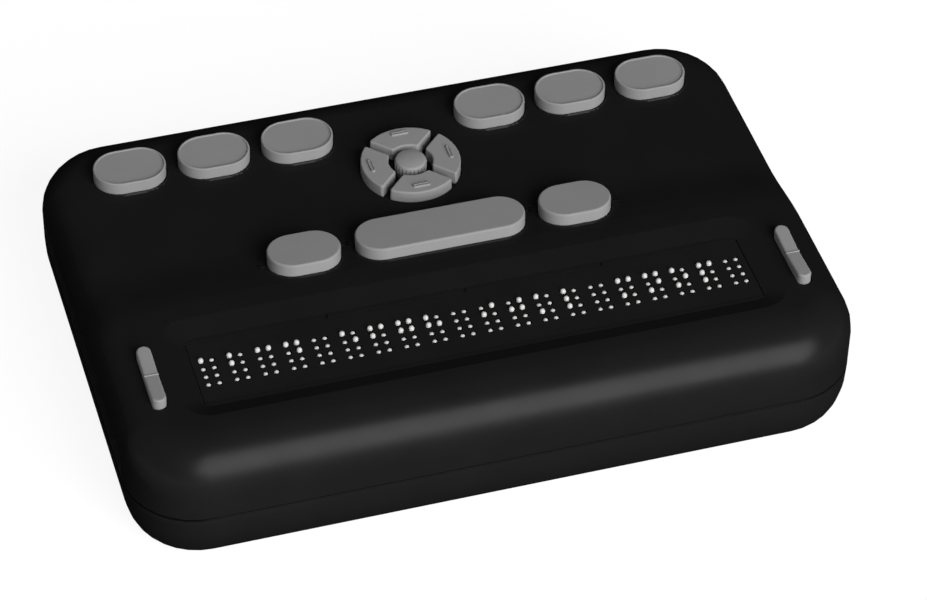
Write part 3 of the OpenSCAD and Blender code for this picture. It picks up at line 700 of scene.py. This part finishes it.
@dataclass(frozen=True, kw_only=True)
class CircuitBoard(Finish):
    """Solder mask over copper lines and rows of tinned pads."""

    roughness: Range = (0.3, 0.42)
    worn: Noise = Noise(2.0, 2.0)
    relief_height: float = 0.02
    copper: Color = (0.05, 0.2, 0.09)
    tin: Color = (0.55, 0.55, 0.52)
    patch: float = 1.15
    track_grid: float = 7.2
    track_width: float = 0.02
    track_squash: float = 0.6
    pad_pitch: float = 2.4
    pad_size: float = 0.16
    pad_scatter: float = 0.35

    def patterns(self, recipe: Recipe) -> tuple[Socket, Socket]:
        """Lays tracks and pads over the mask.

        Args:
            recipe: Recipe that the nodes go to.

        Returns:
            Colour and relief of the surface.
        """
        brick = {
            "Vector": recipe.place,
            "Scale": 1 / (self.track_grid * MM),
            "Mortar Size": self.track_width,
            "Color1": (*self.color, 1.0),
            "Color2": (*shade(self.color, self.patch), 1.0),
            "Mortar": (*self.copper, 1.0),
        }
        tracks = recipe.add("TexBrick", brick, squash=self.track_squash)
        cell = {"Vector": recipe.place, "Scale": 1 / (self.pad_pitch * MM), "Randomness": self.pad_scatter}
        pads = recipe.add("TexVoronoi", cell, feature="F1")["Distance"]
        dots = recipe.math("LESS_THAN", pads, self.pad_size)
        layers = {0: dots, MIX_A: tracks["Color"], MIX_B: (*self.tin, 1.0)}
        return recipe.add("Mix", layers, data_type="RGBA")[MIX_RESULT], tracks["Fac"]


@dataclass(frozen=True, kw_only=True)
class FlexFilm(Finish):
    """Amber film over parallel copper conductors."""

    roughness: Range = (0.22, 0.35)
    worn: Noise = Noise(1.5, 2.0)
    relief_height: float = 0.02
    copper: Color = (0.6, 0.28, 0.12)
    pitch: float = 1.0
    stripe_ends: Range = (0.45, 0.6)

    def patterns(self, recipe: Recipe) -> tuple[Socket, Socket]:
        """Lays conductors under the film.

        Args:
            recipe: Recipe that the nodes go to.

        Returns:
            Colour and relief of the surface.
        """
        wave = {"Vector": recipe.place, "Scale": WAVE_PERIOD / (self.pitch * MM)}
        bands = {"wave_type": "BANDS", "bands_direction": "X", "wave_profile": "SIN"}
        stripes = recipe.add("TexWave", wave, **bands)["Fac"]
        return recipe.tint(stripes, self.color, self.copper, self.stripe_ends), stripes


SATIN = {"specular": 0.0, "metallic": 0.43, "rim": 0.0}
EVEN = (0.97, 1.03)
FINISHES: dict[str, Finish] = {
    # seam paints shade into the case's colour along its joint line.
    "case_plastic": MouldedPlastic(
        color=(0.0195, 0.0195, 0.0198), roughness=(0.3, 0.34), seam=14.1, **SATIN
    ),
    "key_plastic": MouldedPlastic(
        color=(0.32, 0.32, 0.32), shades=EVEN, roughness=(0.5, 0.6), specular=0.12, relief_height=0.002
    ),
    "pin_plastic": MouldedPlastic(
        color=(0.74, 0.74, 0.725), shades=EVEN, roughness=(0.3, 0.4), specular=0.4, relief_height=0.001
    ),
    "plate_plastic": MouldedPlastic(color=(0.021, 0.021, 0.0213), roughness=(0.34, 0.38), **SATIN),
    "foot_rubber": FootRubber(color=(0.008, 0.008, 0.008)),
    "cell_plastic": MouldedPlastic(color=(0.04, 0.04, 0.045)),
    "circuit_board": CircuitBoard(color=(0.012, 0.09, 0.04)),
    "dark_plastic": MouldedPlastic(color=(0.015, 0.015, 0.017)),
    "steel": PlainSteel(color=(0.5, 0.5, 0.52)),
    "battery_wrap": ShrinkWrap(color=(0.05, 0.08, 0.16)),
    "flex_film": FlexFilm(color=(0.45, 0.2, 0.04)),
}


class Palette(dict[str, bpy.types.Material]):
    """Materials of the record's slots, made once each."""

    def __missing__(self, slot: str) -> bpy.types.Material:
        """Makes the material of a slot."""
        self[slot] = FINISHES[slot].material(slot)
        return self[slot]


@dataclass
class SubAssembly:
    """What the sub-assemblies share: the frame's nodes and the palette."""

    nodes: dict[str, Piece]
    palette: Palette

    def settle(self, piece: Piece, body: str, slot: str, *nodes: str) -> None:
        """Dresses a finished piece, ties it to its body and lets it stand for CAD nodes.

        Args:
            piece: Finished piece.
            body: CAD body that it moves with.
            slot: Material slot of the record.
            nodes: CAD nodes that it stands for.
        """
        piece.data.materials.clear()
        piece.data.materials.append(self.palette[slot])
        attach(piece, body)
        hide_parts(*nodes)
        LOG.info("%s: %d faces, on %s", piece.name, len(piece.data.polygons), body)

    def settle_key(self, master: Piece, node: str, place: Matrix) -> None:
        """Copies a key's master to its place and settles the copy on the key's own body."""
        self.settle(Bench.copy(master, f"{node}_cap", place), node, "key_plastic", node)

    def dress(self, slot: str, *nodes: str) -> None:
        """Gives CAD nodes that keep their own shape a material in their slots.

        Args:
            slot: Material slot of the record.
            nodes: Names of the CAD nodes.
        """
        for name in nodes:
            for holder in self.nodes[name].material_slots:
                holder.material = self.palette[slot]
            LOG.info("%s: CAD solid in %s", name, slot)


@dataclass(frozen=True)
class Deck:
    """Heights of the deck: level at the keyboard, a smooth rise, level at the braille line."""

    back: float = 30.1
    rise: float = 2.05
    rise_back_y: float = 9.0
    rise_front_y: float = -12.0

    @property
    def front(self) -> float:
        """Height at the braille line."""
        return self.back + self.rise

    def height(self, y: float) -> float:
        """Works out the deck's height.

        Args:
            y: Place along the depth.

        Returns:
            Height there.
        """
        part = (self.rise_back_y - y) / (self.rise_back_y - self.rise_front_y)
        part = min(1.0, max(0.0, part))
        return self.back + self.rise * (1 - math.cos(math.pi * part)) / 2


@dataclass
class CaseShell(SubAssembly):
    """The two covers, merged and evenly shaded, and the underside's fittings."""

    smooth_turn: float = 24.0
    crease_turn: float = 3.4
    corner_x: float = 68.0
    corner_y: float = 41.0
    level_side: float = 7.3
    level_front: float = 4.8
    foot_radius: float = 8.5
    foot_sides: int = 64
    foot_height: float = 1.1
    foot_edge: float = 0.35
    foot_ring: float = 1.6
    foot_dish: float = 0.25
    foot_x: float = 70.0
    foot_y: float = 44.5

    def build(self) -> None:
        """Builds the covers and the feet."""
        for name in ("top_cover", "bottom_cover", "battery_door"):
            crease = self.deck_crease if name == "top_cover" else None
            self.settle(self.shell(name, crease), "case", "case_plastic", name)
        self.settle(self.feet(), "case", "foot_rubber", "rubber_feet")
        self.dress("steel", "case_screws", "battery_door_screws")

    def deck_crease(self, spot: Spot) -> bool:
        """Finds the creases of the deck inside its roundover, such as the basin's rim.

        Args:
            spot: Spot of an edge.

        Returns:
            Whether the edge is such a crease.
        """
        reach = self.level_side if spot.at.y > 0 else self.level_front
        aside = max(abs(spot.at.x) - self.corner_x, 0) / self.level_side
        along = max(abs(spot.at.y) - self.corner_y, 0) / reach
        return spot.turn > self.crease_turn and math.hypot(aside, along) < 1

    def shell(self, node: str, crease: Test | None) -> Piece:
        """Copies a cover of the frame and shades it as one moulded surface.

        Args:
            node: CAD node of the cover.
            crease: Picks the edges that stay sharp, if any.

        Returns:
            The merged copy.
        """
        piece = Bench.copy(self.nodes[node], f"{node}_moulding", Matrix.Identity(4))
        with Edit(piece) as edit:
            edit.merge()
        Bench.smooth(piece, self.smooth_turn, crease)
        return piece

    def feet(self) -> Piece:
        """Models a foot with a rounded edge and a dished sole, and copies it to the corners.

        Returns:
            The four feet in one piece.
        """
        foot = Bench.rod("foot", self.foot_radius, (0.0, self.foot_height), self.foot_sides)
        with Edit(foot) as edit:
            edit.round_foot(0.0, self.foot_edge, MEDIUM)
            edit.faces(lambda s: s.way.z < -LEVEL and s.at.z < HAIR)
            edit.dish(self.foot_ring, self.foot_dish)
        Bench.smooth(foot)
        corners = [(sx * self.foot_x, sy * self.foot_y) for sx in (-1, 1) for sy in (-1, 1)]
        feet = [Bench.copy(foot, "feet", move(x, y, 0)) for x, y in corners]
        Bench.discard(foot)
        Bench.join(feet[0], feet[1:])
        return feet[0]


@dataclass
class KeySet(SubAssembly):
    """What the keys share: the deck that they stand in, a skirt with a flange, and stems."""

    deck: Deck
    skirt: float = 3.7
    flange_thick: float = 1.0
    stem_radius: float = 2.0
    stem_sides: int = 24
    stem_depth: float = 5.2
    stem_edge: float = 0.2

    def stem(self, x: float) -> Piece:
        """Models a stem with a rounded foot under a key.

        Args:
            x: Its place along the key.

        Returns:
            The stem.
        """
        ends = (-self.stem_depth, -self.skirt)
        rod = Bench.rod("stem", self.stem_radius, ends, self.stem_sides, (x, 0.0))
        with Edit(rod) as edit:
            edit.round_foot(-self.stem_depth, self.stem_edge, COARSE)
        return rod


class KeyTop(Enum):
    """How a key's top is finished."""

    RIMMED = "raised rim round a sunk top"
    PLAIN = "flat top"


@dataclass
class BrailleKeyboard(KeySet):
    """Six braille keys at the back and the space bar's row, tilted with the rising deck."""

    length: float = 17.1
    depth: float = 12.2
    bar_length: float = 40.3
    bar_gap: float = 3.7
    edge: float = 0.3
    soft_edge: float = 0.5
    end_steps: int = 16
    dot_rise: float = 3.3
    bar_rise: float = 3.6
    rim_width: float = 0.5
    rim_height: float = 0.3
    rim_edge: float = 0.075
    flange_out: float = 0.8
    keys_per_hand: int = 3
    first_x: float = 23.7
    pitch: float = 20.2
    dot_y: float = 39.9
    bar_y: float = 0.0
    bar_tilt: float = 5.0

    def build(self) -> None:
        """Builds both rows."""
        dot = self.cap("braille_key", self.length, self.dot_rise, KeyTop.RIMMED, (0.0,))
        for i in range(2 * self.keys_per_hand):
            side = -1 if i < self.keys_per_hand else 1
            x = side * (self.first_x + self.pitch * (i % self.keys_per_hand))
            self.settle_key(dot, f"dot_{i + 1}_key", move(x, self.dot_y, self.deck.height(self.dot_y)))
        side_key = self.cap("side_key", self.length, self.bar_rise, KeyTop.PLAIN, (0.0,))
        stem_x = self.bar_length / 4
        bar = self.cap("bar", self.bar_length, self.bar_rise, KeyTop.PLAIN, (-stem_x, stem_x))
        side_x = self.bar_length / 2 + self.bar_gap + self.length / 2
        for node, master, x in (
            ("dot_7_key", side_key, -side_x),
            ("space_key", bar, 0.0),
            ("dot_8_key", side_key, side_x),
        ):
            place = move(x, self.bar_y, self.deck.height(self.bar_y)) @ turn(-self.bar_tilt, "X")
            self.settle_key(master, node, place)
        Bench.discard(dot, side_key, bar)

    def cap(self, name: str, length: float, rise: float, top: KeyTop, stems: Sequence[float]) -> Piece:
        """Models one key in its own frame, whose Z leaves the deck.

        Args:
            name: Name of the master.
            length: Length of the cap between its round ends.
            rise: Height over the deck.
            top: Finish of the top.
            stems: Places of the stems along the key.

        Returns:
            The finished master.
        """
        key = Bench.block(name, (length, self.depth, rise + self.skirt), (0, 0, (rise - self.skirt) / 2))
        with Edit(key) as edit:
            edit.round_ends(self.depth / 2, self.end_steps)
            edit.flange(-self.skirt, self.flange_thick, (length, self.depth), self.flange_out)
            edit.round_top(rise, self.edge if top is KeyTop.RIMMED else self.soft_edge, FINE)
            if top is KeyTop.RIMMED:
                self.sink_top(edit, rise)
        Bench.join(key, [self.stem(x) for x in stems])
        Bench.smooth(key)
        return key

    def sink_top(self, edit: Edit, rise: float) -> None:
        """Leaves a raised rim round a sunk top.

        Args:
            edit: Open edit of the key.
            rise: Height of the rim over the deck.
        """
        edit.top_faces(rise)
        edit.inset(self.rim_width - self.edge)
        edit.extrude((0, 0, -self.rim_height))
        edit.round_top(rise - self.rim_height, self.rim_edge, COARSE)


@dataclass
class CursorPad(KeySet):
    """Four cursor keys round a select key."""

    centre_y: float = 25.1
    radius: float = 11.8
    inner_radius: float = 5.3
    gap: float = 1.9
    rise: float = 2.7
    edge: float = 0.4
    corner: float = 0.55
    corner_turn: float = 40.0
    sweep: float = 92.0
    facets: int = 10
    flange_reach: float = 1.1
    bar_width: float = 1.0
    bar_length: float = 4.2
    bar_height: float = 0.5
    bar_steps: int = 5
    bar_edge: float = 0.1
    bar_wall: float = 0.22
    select_radius: float = 3.6
    select_rise: float = 3.4
    select_flange: float = 0.8
    select_dome: float = 0.5
    select_edge: float = 0.3
    dome_rings: int = 6
    ribs: int = 24
    rib_sides: int = 4
    rib_height: float = 0.2
    rib_low: float = 0.3
    rib_drop: float = 0.6

    @property
    def middle(self) -> float:
        """Distance of a cursor key's middle from the pad's."""
        return (self.inner_radius + self.radius) / 2

    def build(self) -> None:
        """Builds the four cursor keys and the select key."""
        arm = self.arm()
        centre = move(0, self.centre_y, self.deck.back)
        for i, way in enumerate(("right", "up", "left", "down")):
            self.settle_key(arm, f"cursor_{way}_key", centre @ turn(90 * i, "Z"))
        select = self.select()
        self.settle_key(select, "select_key", centre)
        Bench.discard(arm, select)

    def arm(self) -> Piece:
        """Models the cursor key that points along +X, as a spun section cut by the diagonal gaps.

        Returns:
            The finished master.
        """
        bottom = -self.skirt - self.flange_thick
        key = Bench.start(
            "arm",
            bpy.ops.mesh.primitive_plane_add,
            metres((self.radius - self.inner_radius, self.rise - bottom, 1.0)),
            size=1.0,
            location=metres((self.middle, 0, (self.rise + bottom) / 2)),
            rotation=(math.pi / 2, 0, 0),
        )
        with Edit(key) as edit:
            edit.bisect((0, 0, -self.skirt), (0, 0, 1))
            edit.edges(lambda s: s.at.x > self.radius - HAIR and s.at.z < -self.skirt)
            edit.extrude((self.flange_reach, 0, 0))
            edit.everything()
            bpy.ops.mesh.spin(steps=self.facets, angle=math.radians(self.sweep), axis=(0, 0, -1))
            edit.close()
        key.data.transform(turn(-self.sweep / 2, "Z"))
        reach = self.gap / math.sqrt(2)
        with Edit(key) as edit:
            for side in (1, -1):
                edit.bisect((reach, 0, 0), (-1, side, 0), clear=True)
            edit.flatten_top(self.rise)
            edit.round_edges(
                self.corner,
                MEDIUM,
                lambda s: abs(s.way.z) > UPRIGHT and s.turn > self.corner_turn and s.at.z > -self.skirt,
            )
            edit.round_top(self.rise, self.edge, FINE)
        Bench.join(key, [self.stem(self.middle), self.bar()])
        Bench.smooth(key)
        return key

    def bar(self) -> Piece:
        """Models the tactile bar across a cursor key, with round ends, a soft edge and a sunk middle.

        Returns:
            The bar.
        """
        size = (self.bar_width, self.bar_length, 2 * self.bar_height)
        high = self.rise + self.bar_height
        bar = Bench.block("bar", size, (self.middle + self.bar_width, 0, self.rise))
        with Edit(bar) as edit:
            edit.round_ends(self.bar_width / 2, self.bar_steps)
            edit.round_top(high, self.bar_edge, COARSE)
            edit.top_faces(high)
            edit.inset(self.bar_wall - self.bar_edge)
            edit.extrude((0, 0, -self.bar_height / 2))
        return bar

    def select(self) -> Piece:
        """Models the select key with its ribbed side and domed top.

        Returns:
            The finished master.
        """
        shoulder = self.select_rise - self.select_dome
        low, high = self.rib_low, shoulder - self.rib_drop
        pitch = 360 / self.ribs
        size = (2 * self.select_radius, 2 * self.select_radius)
        key = Bench.rod("select", self.select_radius, (-self.skirt, shoulder), self.rib_sides * self.ribs)
        with Edit(key) as edit:
            edit.flange(-self.skirt, self.flange_thick, size, self.select_flange)
            edit.faces(lambda s: s.way.z > LEVEL)
            for i in range(self.dome_rings):
                edit.inset(self.select_radius / (self.dome_rings + 1) if i else 2 * self.select_edge)
                edit.raise_by(self.select_dome * (2 * (self.dome_rings - i) - 1) / self.dome_rings**2)
            edit.round_edges(
                self.select_edge,
                MEDIUM,
                lambda s: abs(s.at.z - shoulder) < HAIR and s.turn > OUTLINE_TURN,
            )
            for z in (low, high):
                edit.bisect((0, 0, z), (0, 0, 1))
            edit.faces(
                lambda s: low < s.at.z < high
                and abs(s.way.z) < 1 - UPRIGHT
                and math.degrees(math.atan2(s.at.y, s.at.x)) % pitch < pitch / 2
            )
            edit.extrude((0, 0, 0))
            edit.widen(size, self.rib_height)
        Bench.join(key, [self.stem(0.0)])
        Bench.smooth(key)
        return key


@dataclass
class PanningRockers(SubAssembly):
    """The two rockers at the ends of the braille line, and their hinge pins."""

    deck: Deck
    width: float = 3.3
    length: float = 18.0
    end_steps: int = 8
    x: float = 75.0
    y: float = -30.3
    rise: float = 2.4
    dip: float = 0.68
    edge: float = 0.5
    crease_turn: float = 5.0
    hinge_drop: float = 3.15
    under: float = 2.0
    foot_drop: float = 4.0
    foot_y: float = 6.5
    foot_length: float = 3.0
    bore_radius: float = 0.85
    rib_radius: float = 0.2
    rib_edge: float = 0.1
    rod_sides: int = 24

    def build(self) -> None:
        """Builds both rockers."""
        rocker = self.rocker()
        for side, node in ((-1, "left_rocker"), (1, "right_rocker")):
            self.settle_key(rocker, node, move(side * self.x, self.y, 0))
        Bench.discard(rocker)
        self.dress("steel", "rocker_pins")

    def rocker(self) -> Piece:
        """Models half a rocker, mirrors it, and adds the rib and the hinge bore.

        Returns:
            The finished master.
        """
        hinge = self.deck.front - self.hinge_drop
        bottom = hinge - self.under
        top = self.deck.front + self.rise
        low = top - self.dip
        valley = low - 2 * HAIR
        half = self.length / 2
        piece = Bench.block("rocker", (self.width, half, top - bottom), (0, half / 2, (top + bottom) / 2))
        with Edit(piece) as edit:
            edit.round_ends(self.width / 2, self.end_steps, half - HAIR)
            for end in (-0.5, 0.5):
                edit.bisect((0, self.foot_y + end * self.foot_length, 0), (0, 1, 0))
            edit.faces(
                lambda s: s.way.z < -UPRIGHT and abs(s.at.y - self.foot_y) < self.foot_length / 2
            )
            edit.extrude((0, 0, hinge - self.foot_drop - bottom))
            edit.bisect((0, 0, valley), (0, -self.dip, half), clear=True, near=HAIR / 10)
            edit.faces(lambda s: s.way.y < -UPRIGHT and s.at.y < HAIR)
            bpy.ops.mesh.delete(type="FACE")
            edit.flatten_top(valley)
            edit.round_top(valley, self.edge, MEDIUM)
        Bench.modify(
            piece, "MIRROR", use_axis=(False, True, False), use_clip=True, merge_threshold=HAIR * MM
        )
        with Edit(piece) as edit:
            edit.close()
        Bench.cut(piece, self.cross_rod("bore", self.bore_radius, hinge, 2 * self.width))
        rib = self.cross_rod("rib", self.rib_radius, low, self.width)
        with Edit(rib) as edit:
            edit.round_edges(self.rib_edge, COARSE, lambda s: s.turn > OUTLINE_TURN)
        Bench.join(piece, [rib])
        Bench.smooth(
            piece,
            crease=lambda s: abs(s.at.y) < HAIR
            and s.at.z > low - self.edge
            and s.turn > self.crease_turn,
        )
        return piece

    def cross_rod(self, name: str, radius: float, z: float, length: float) -> Piece:
        """Starts a rod across a rocker.

        Args:
            name: Name of the rod.
            radius: Its radius.
            z: Height of its axis.
            length: Its length along X.

        Returns:
            The rod.
        """
        rod = Bench.rod(name, radius, (-length / 2, length / 2), self.rod_sides)
        rod.data.transform(move(0, 0, z) @ turn(90, "Y"))
        return rod


@dataclass
class BrailleLine(SubAssembly):
    """The reading plate and the pins that spell plain letters in groups of four."""

    deck: Deck
    cells: int = 20
    cell_pitch: float = 6.49
    dot_pitch: float = 2.5
    y: float = -29.6
    plate_drop: float = 1.35
    pin_radius: float = 0.63
    pin_sides: int = 12
    pin_dome: float = 0.96
    pin_length: float = 6.0
    pin_tip: float = 0.08
    pin_lift: float = 0.75
    pin_smooth: float = 40.0
    group: int = 5

    LETTERS = "1 12 14 145 15 124 1245 125 24 245 13 123 134 1345 135 1234".split()
    GRID = ("14", "25", "36", "78")

    def build(self) -> None:
        """Builds the pins and dresses the plate."""
        pin = self.pin()
        plate = self.deck.front - self.plate_drop
        for node, up in (("raised_pins", True), ("lowered_pins", False)):
            z = plate + self.pin_tip - self.pin_length + (self.pin_lift if up else 0.0)
            pins = [Bench.copy(pin, f"{node}_set", move(x, y, z)) for x, y in self.places(up)]
            Bench.join(pins[0], pins[1:])
            self.settle(pins[0], node, "pin_plastic", node)
        Bench.discard(pin)
        self.dress("plate_plastic", "reading_plate")

    def pin(self) -> Piece:
        """Models one pin with a domed tip.

        Returns:
            The master of all pins.
        """
        pin = Bench.rod("pin", self.pin_radius, (0.0, self.pin_length), self.pin_sides)
        with Edit(pin) as edit:
            edit.round_top(self.pin_length, self.pin_radius * self.pin_dome, FINE)
        Bench.smooth(pin, self.pin_smooth)
        return pin

    def places(self, up: bool) -> list[Range]:
        """Places of the pins that are up or down.

        Args:
            up: Whether the raised pins are meant.

        Returns:
            Their places seen from above.
        """
        found = []
        for cell in range(self.cells):
            blank = cell % self.group == self.group - 1
            letter = "" if blank else self.LETTERS[(cell - cell // self.group) % len(self.LETTERS)]
            middle = (cell - (self.cells - 1) / 2) * self.cell_pitch
            for row, pair in enumerate(self.GRID):
                for col, dot in enumerate(pair):
                    if (dot in letter) == up:
                        x = middle + (col - (len(pair) - 1) / 2) * self.dot_pitch
                        y = self.y + ((len(self.GRID) - 1) / 2 - row) * self.dot_pitch
                        found.append((x, y))
        return found


@dataclass
class RearSide(SubAssembly):
    """Power button, charging socket and card slot in the back."""

    x: float = 46.0
    z: float = 9.7
    face_y: float = 57.4
    radius: float = 3.0
    sides: int = 48
    depth: float = 3.648
    flange_out: float = 0.8
    flange_thick: float = 1.0
    edge: float = 0.35
    dish_rim: float = 0.9
    dish: float = 0.2

    def build(self) -> None:
        """Builds the power button and dresses the sockets."""
        button = self.button()
        self.settle_key(button, "power_button", move(self.x, self.face_y, self.z) @ turn(-90, "X"))
        Bench.discard(button)
        self.dress("steel", "usb_socket", "card_socket")
        self.dress("dark_plastic", "power_switch")

    def button(self) -> Piece:
        """Models the button with a flange inside and a dished face, its face at height 0.

        Returns:
            The finished master.
        """
        low = self.flange_thick - self.depth
        button = Bench.rod("button", self.radius, (low, 0.0), self.sides)
        with Edit(button) as edit:
            edit.flange(low, self.flange_thick - HAIR, (2 * self.radius, 2 * self.radius), self.flange_out)
            edit.round_top(0.0, self.edge, MEDIUM)
            edit.top_faces(0.0)
            edit.dish(self.dish_rim - self.edge, -self.dish)
        Bench.smooth(button)
        return button


@dataclass
class Inside(SubAssembly):
    """Boards, cells, switches and battery, which keep their CAD shapes."""

    def build(self) -> None:
        """Dresses the pieces inside the case."""
        self.dress("circuit_board", "key_board", "main_board", "cell_board")
        self.dress("cell_plastic", "braille_cells")
        self.dress("dark_plastic", "key_switches", "rocker_switches", "processor_chip", "ribbon_connectors")
        self.dress("steel", "cell_board_screws", "key_board_screws", "main_board_screws")
        self.dress("steel", "radio_shield", "battery_contacts")
        self.dress("battery_wrap", "battery_pack")
        self.dress("flex_film", "ribbon_cables")


@dataclass
class Studio:
    """Camera, pale floor and soft light.

    right, up and back are the camera's axes. floor_steps holds the height and the reach of each step of
    the floor's raised rim.
    """

    lens: float = 144.56
    sensor: float = 36.0
    sight: float = 50000.0
    eye: Point = (-183.195, -608.508, 606.548)
    right: Point = (0.95892, -0.28328, 0.01497)
    up: Point = (0.18339, 0.65930, 0.72917)
    back: Point = (-0.21643, -0.69647, 0.68417)
    light_way: Point = (0.243, -0.853, 0.461)
    light_distance: float = 2000.0
    light_size: float = 1600.0
    light_power: float = 50.0
    sky: float = 0.07
    bright_sky: float = 0.45
    bright_way: Point = (-0.7, 0.7, -0.15)
    floor_radius: float = 12000.0
    floor_sides: int = 96
    floor_steps: tuple[Range, ...] = ((1000 / 3, 1200.0), (2000 / 3, 528.0))
    floor_smooth: float = 80.0
    floor_paper: float = 0.45
    floor_glow: float = 0.9
    floor_shade: float = 0.2
    near_floor: float = 100.0
    far_floor: float = 600.0

    def build(self) -> None:
        """Sets up the studio."""
        bpy.context.scene.view_settings.view_transform = "Standard"
        self.camera()
        self.light()
        self.world()
        self.floor()

    @staticmethod
    def mount(data: bpy.types.ID, place: Matrix) -> Piece:
        """Puts a camera or a lamp into the scene.

        Args:
            data: Settings of the camera or lamp.
            place: Its place and direction.

        Returns:
            Its object.
        """
        holder = bpy.data.objects.new(data.name, data)
        holder.matrix_world = place
        bpy.context.scene.collection.objects.link(holder)
        return holder

    def camera(self) -> None:
        """Puts the camera at the photograph's viewing angle."""
        data = bpy.data.cameras.new("camera")
        data.sensor_fit = "HORIZONTAL"
        data.sensor_width = self.sensor
        data.lens = self.lens
        data.clip_end = self.sight * MM
        axes = Matrix((self.right, self.up, self.back)).transposed().to_4x4()
        bpy.context.scene.camera = self.mount(data, move(*self.eye) @ axes)

    def light(self) -> None:
        """Adds the large soft lamp in front."""
        data = bpy.data.lights.new("softbox", "AREA")
        data.shape = "DISK"
        data.size = self.light_size * MM
        data.energy = self.light_power
        way = Vector(self.light_way).normalized()
        aim = way.to_track_quat("Z", "Y").to_matrix().to_4x4()
        self.mount(data, move(*way * self.light_distance) @ aim)

    def world(self) -> None:
        """Fills the room with a dim light that grows softly towards its bright side."""
        world = bpy.data.worlds.new("room")
        world.use_nodes = True
        graph = Graph(world.node_tree)
        ways = {0: graph.add("TexCoord")["Generated"], 1: Vector(self.bright_way).normalized()}
        side = graph.add("VectorMath", ways, operation="DOT_PRODUCT")["Value"]
        levels = {"Value": side, "To Min": self.sky, "To Max": self.bright_sky}
        level = graph.add("MapRange", levels, interpolation_type="SMOOTHSTEP")["Result"]
        background = graph.tree.nodes["Background"].inputs
        graph.feed(background["Color"], (1.0, 1.0, 1.0, 1.0))
        graph.feed(background["Strength"], level)
        bpy.context.scene.world = world

    def floor(self) -> None:
        """Models a round floor with a raised rim and gives it its white finish."""
        Bench.clear()
        bpy.ops.mesh.primitive_circle_add(
            vertices=self.floor_sides, radius=self.floor_radius * MM, fill_type="NGON"
        )
        floor = bpy.context.object
        floor.name = "floor"
        radius = self.floor_radius
        with Edit(floor) as edit:
            edit.edges(lambda s: s.at.length > self.floor_radius / 2)
            for height, out in self.floor_steps:
                bpy.ops.mesh.extrude_edges_move(TRANSFORM_OT_translate={"value": (0, 0, height * MM)})
                edit.widen((2 * radius, 2 * radius), out)
                radius += out
        Bench.smooth(floor, self.floor_smooth)
        floor.data.materials.append(self.floor_material())

    def floor_material(self) -> bpy.types.Material:
        """White for the camera and in reflections, with the object's shadow; plain pale paper otherwise.

        A reflection of the floor close to the object shows the paper as it is lit.

        Returns:
            The floor's material.
        """
        material = blank_material("floor_paper")
        graph = Graph(material.node_tree)
        path = graph.add("LightPath")
        steps = {"From Min": self.near_floor * MM, "From Max": self.far_floor * MM}
        lengths = {"Value": path["Ray Length"], **steps}
        far = graph.add("MapRange", lengths, interpolation_type="SMOOTHSTEP")["Result"]
        mirrored = graph.math("MULTIPLY", path["Is Glossy Ray"], far)
        seen = graph.math("MAXIMUM", path["Is Camera Ray"], mirrored)
        seen = graph.math("MAXIMUM", seen, path["Is Transmission Ray"])
        glow = graph.add("Emission", {"Strength": self.floor_glow})[0]
        shadow = graph.add("BsdfDiffuse", {"Color": (self.floor_shade,) * 3 + (1.0,)})[0]
        paper = graph.add("BsdfDiffuse", {"Color": (self.floor_paper,) * 3 + (1.0,)})[0]
        white = graph.add("AddShader", {0: glow, 1: shadow})[0]
        choice = graph.add("MixShader", {"Fac": seen, 1: paper, 2: white})[0]
        graph.add("OutputMaterial", {"Surface": choice})
        return material


def main() -> None:
    """Builds the sub-assemblies in order."""
    logging.basicConfig(level=logging.INFO, format="%(name)s: %(message)s")
    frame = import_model()
    Bench.clear()
    nodes, palette, deck = frame["nodes"], Palette(), Deck()
    for part in (
        CaseShell(nodes, palette),
        BrailleKeyboard(nodes, palette, deck),
        CursorPad(nodes, palette, deck),
        PanningRockers(nodes, palette, deck),
        BrailleLine(nodes, palette, deck),
        RearSide(nodes, palette),
        Inside(nodes, palette),
        Studio(),
    ):
        LOG.info("building %s", type(part).__name__)
        part.build()


if __name__ == "__main__":
    main()
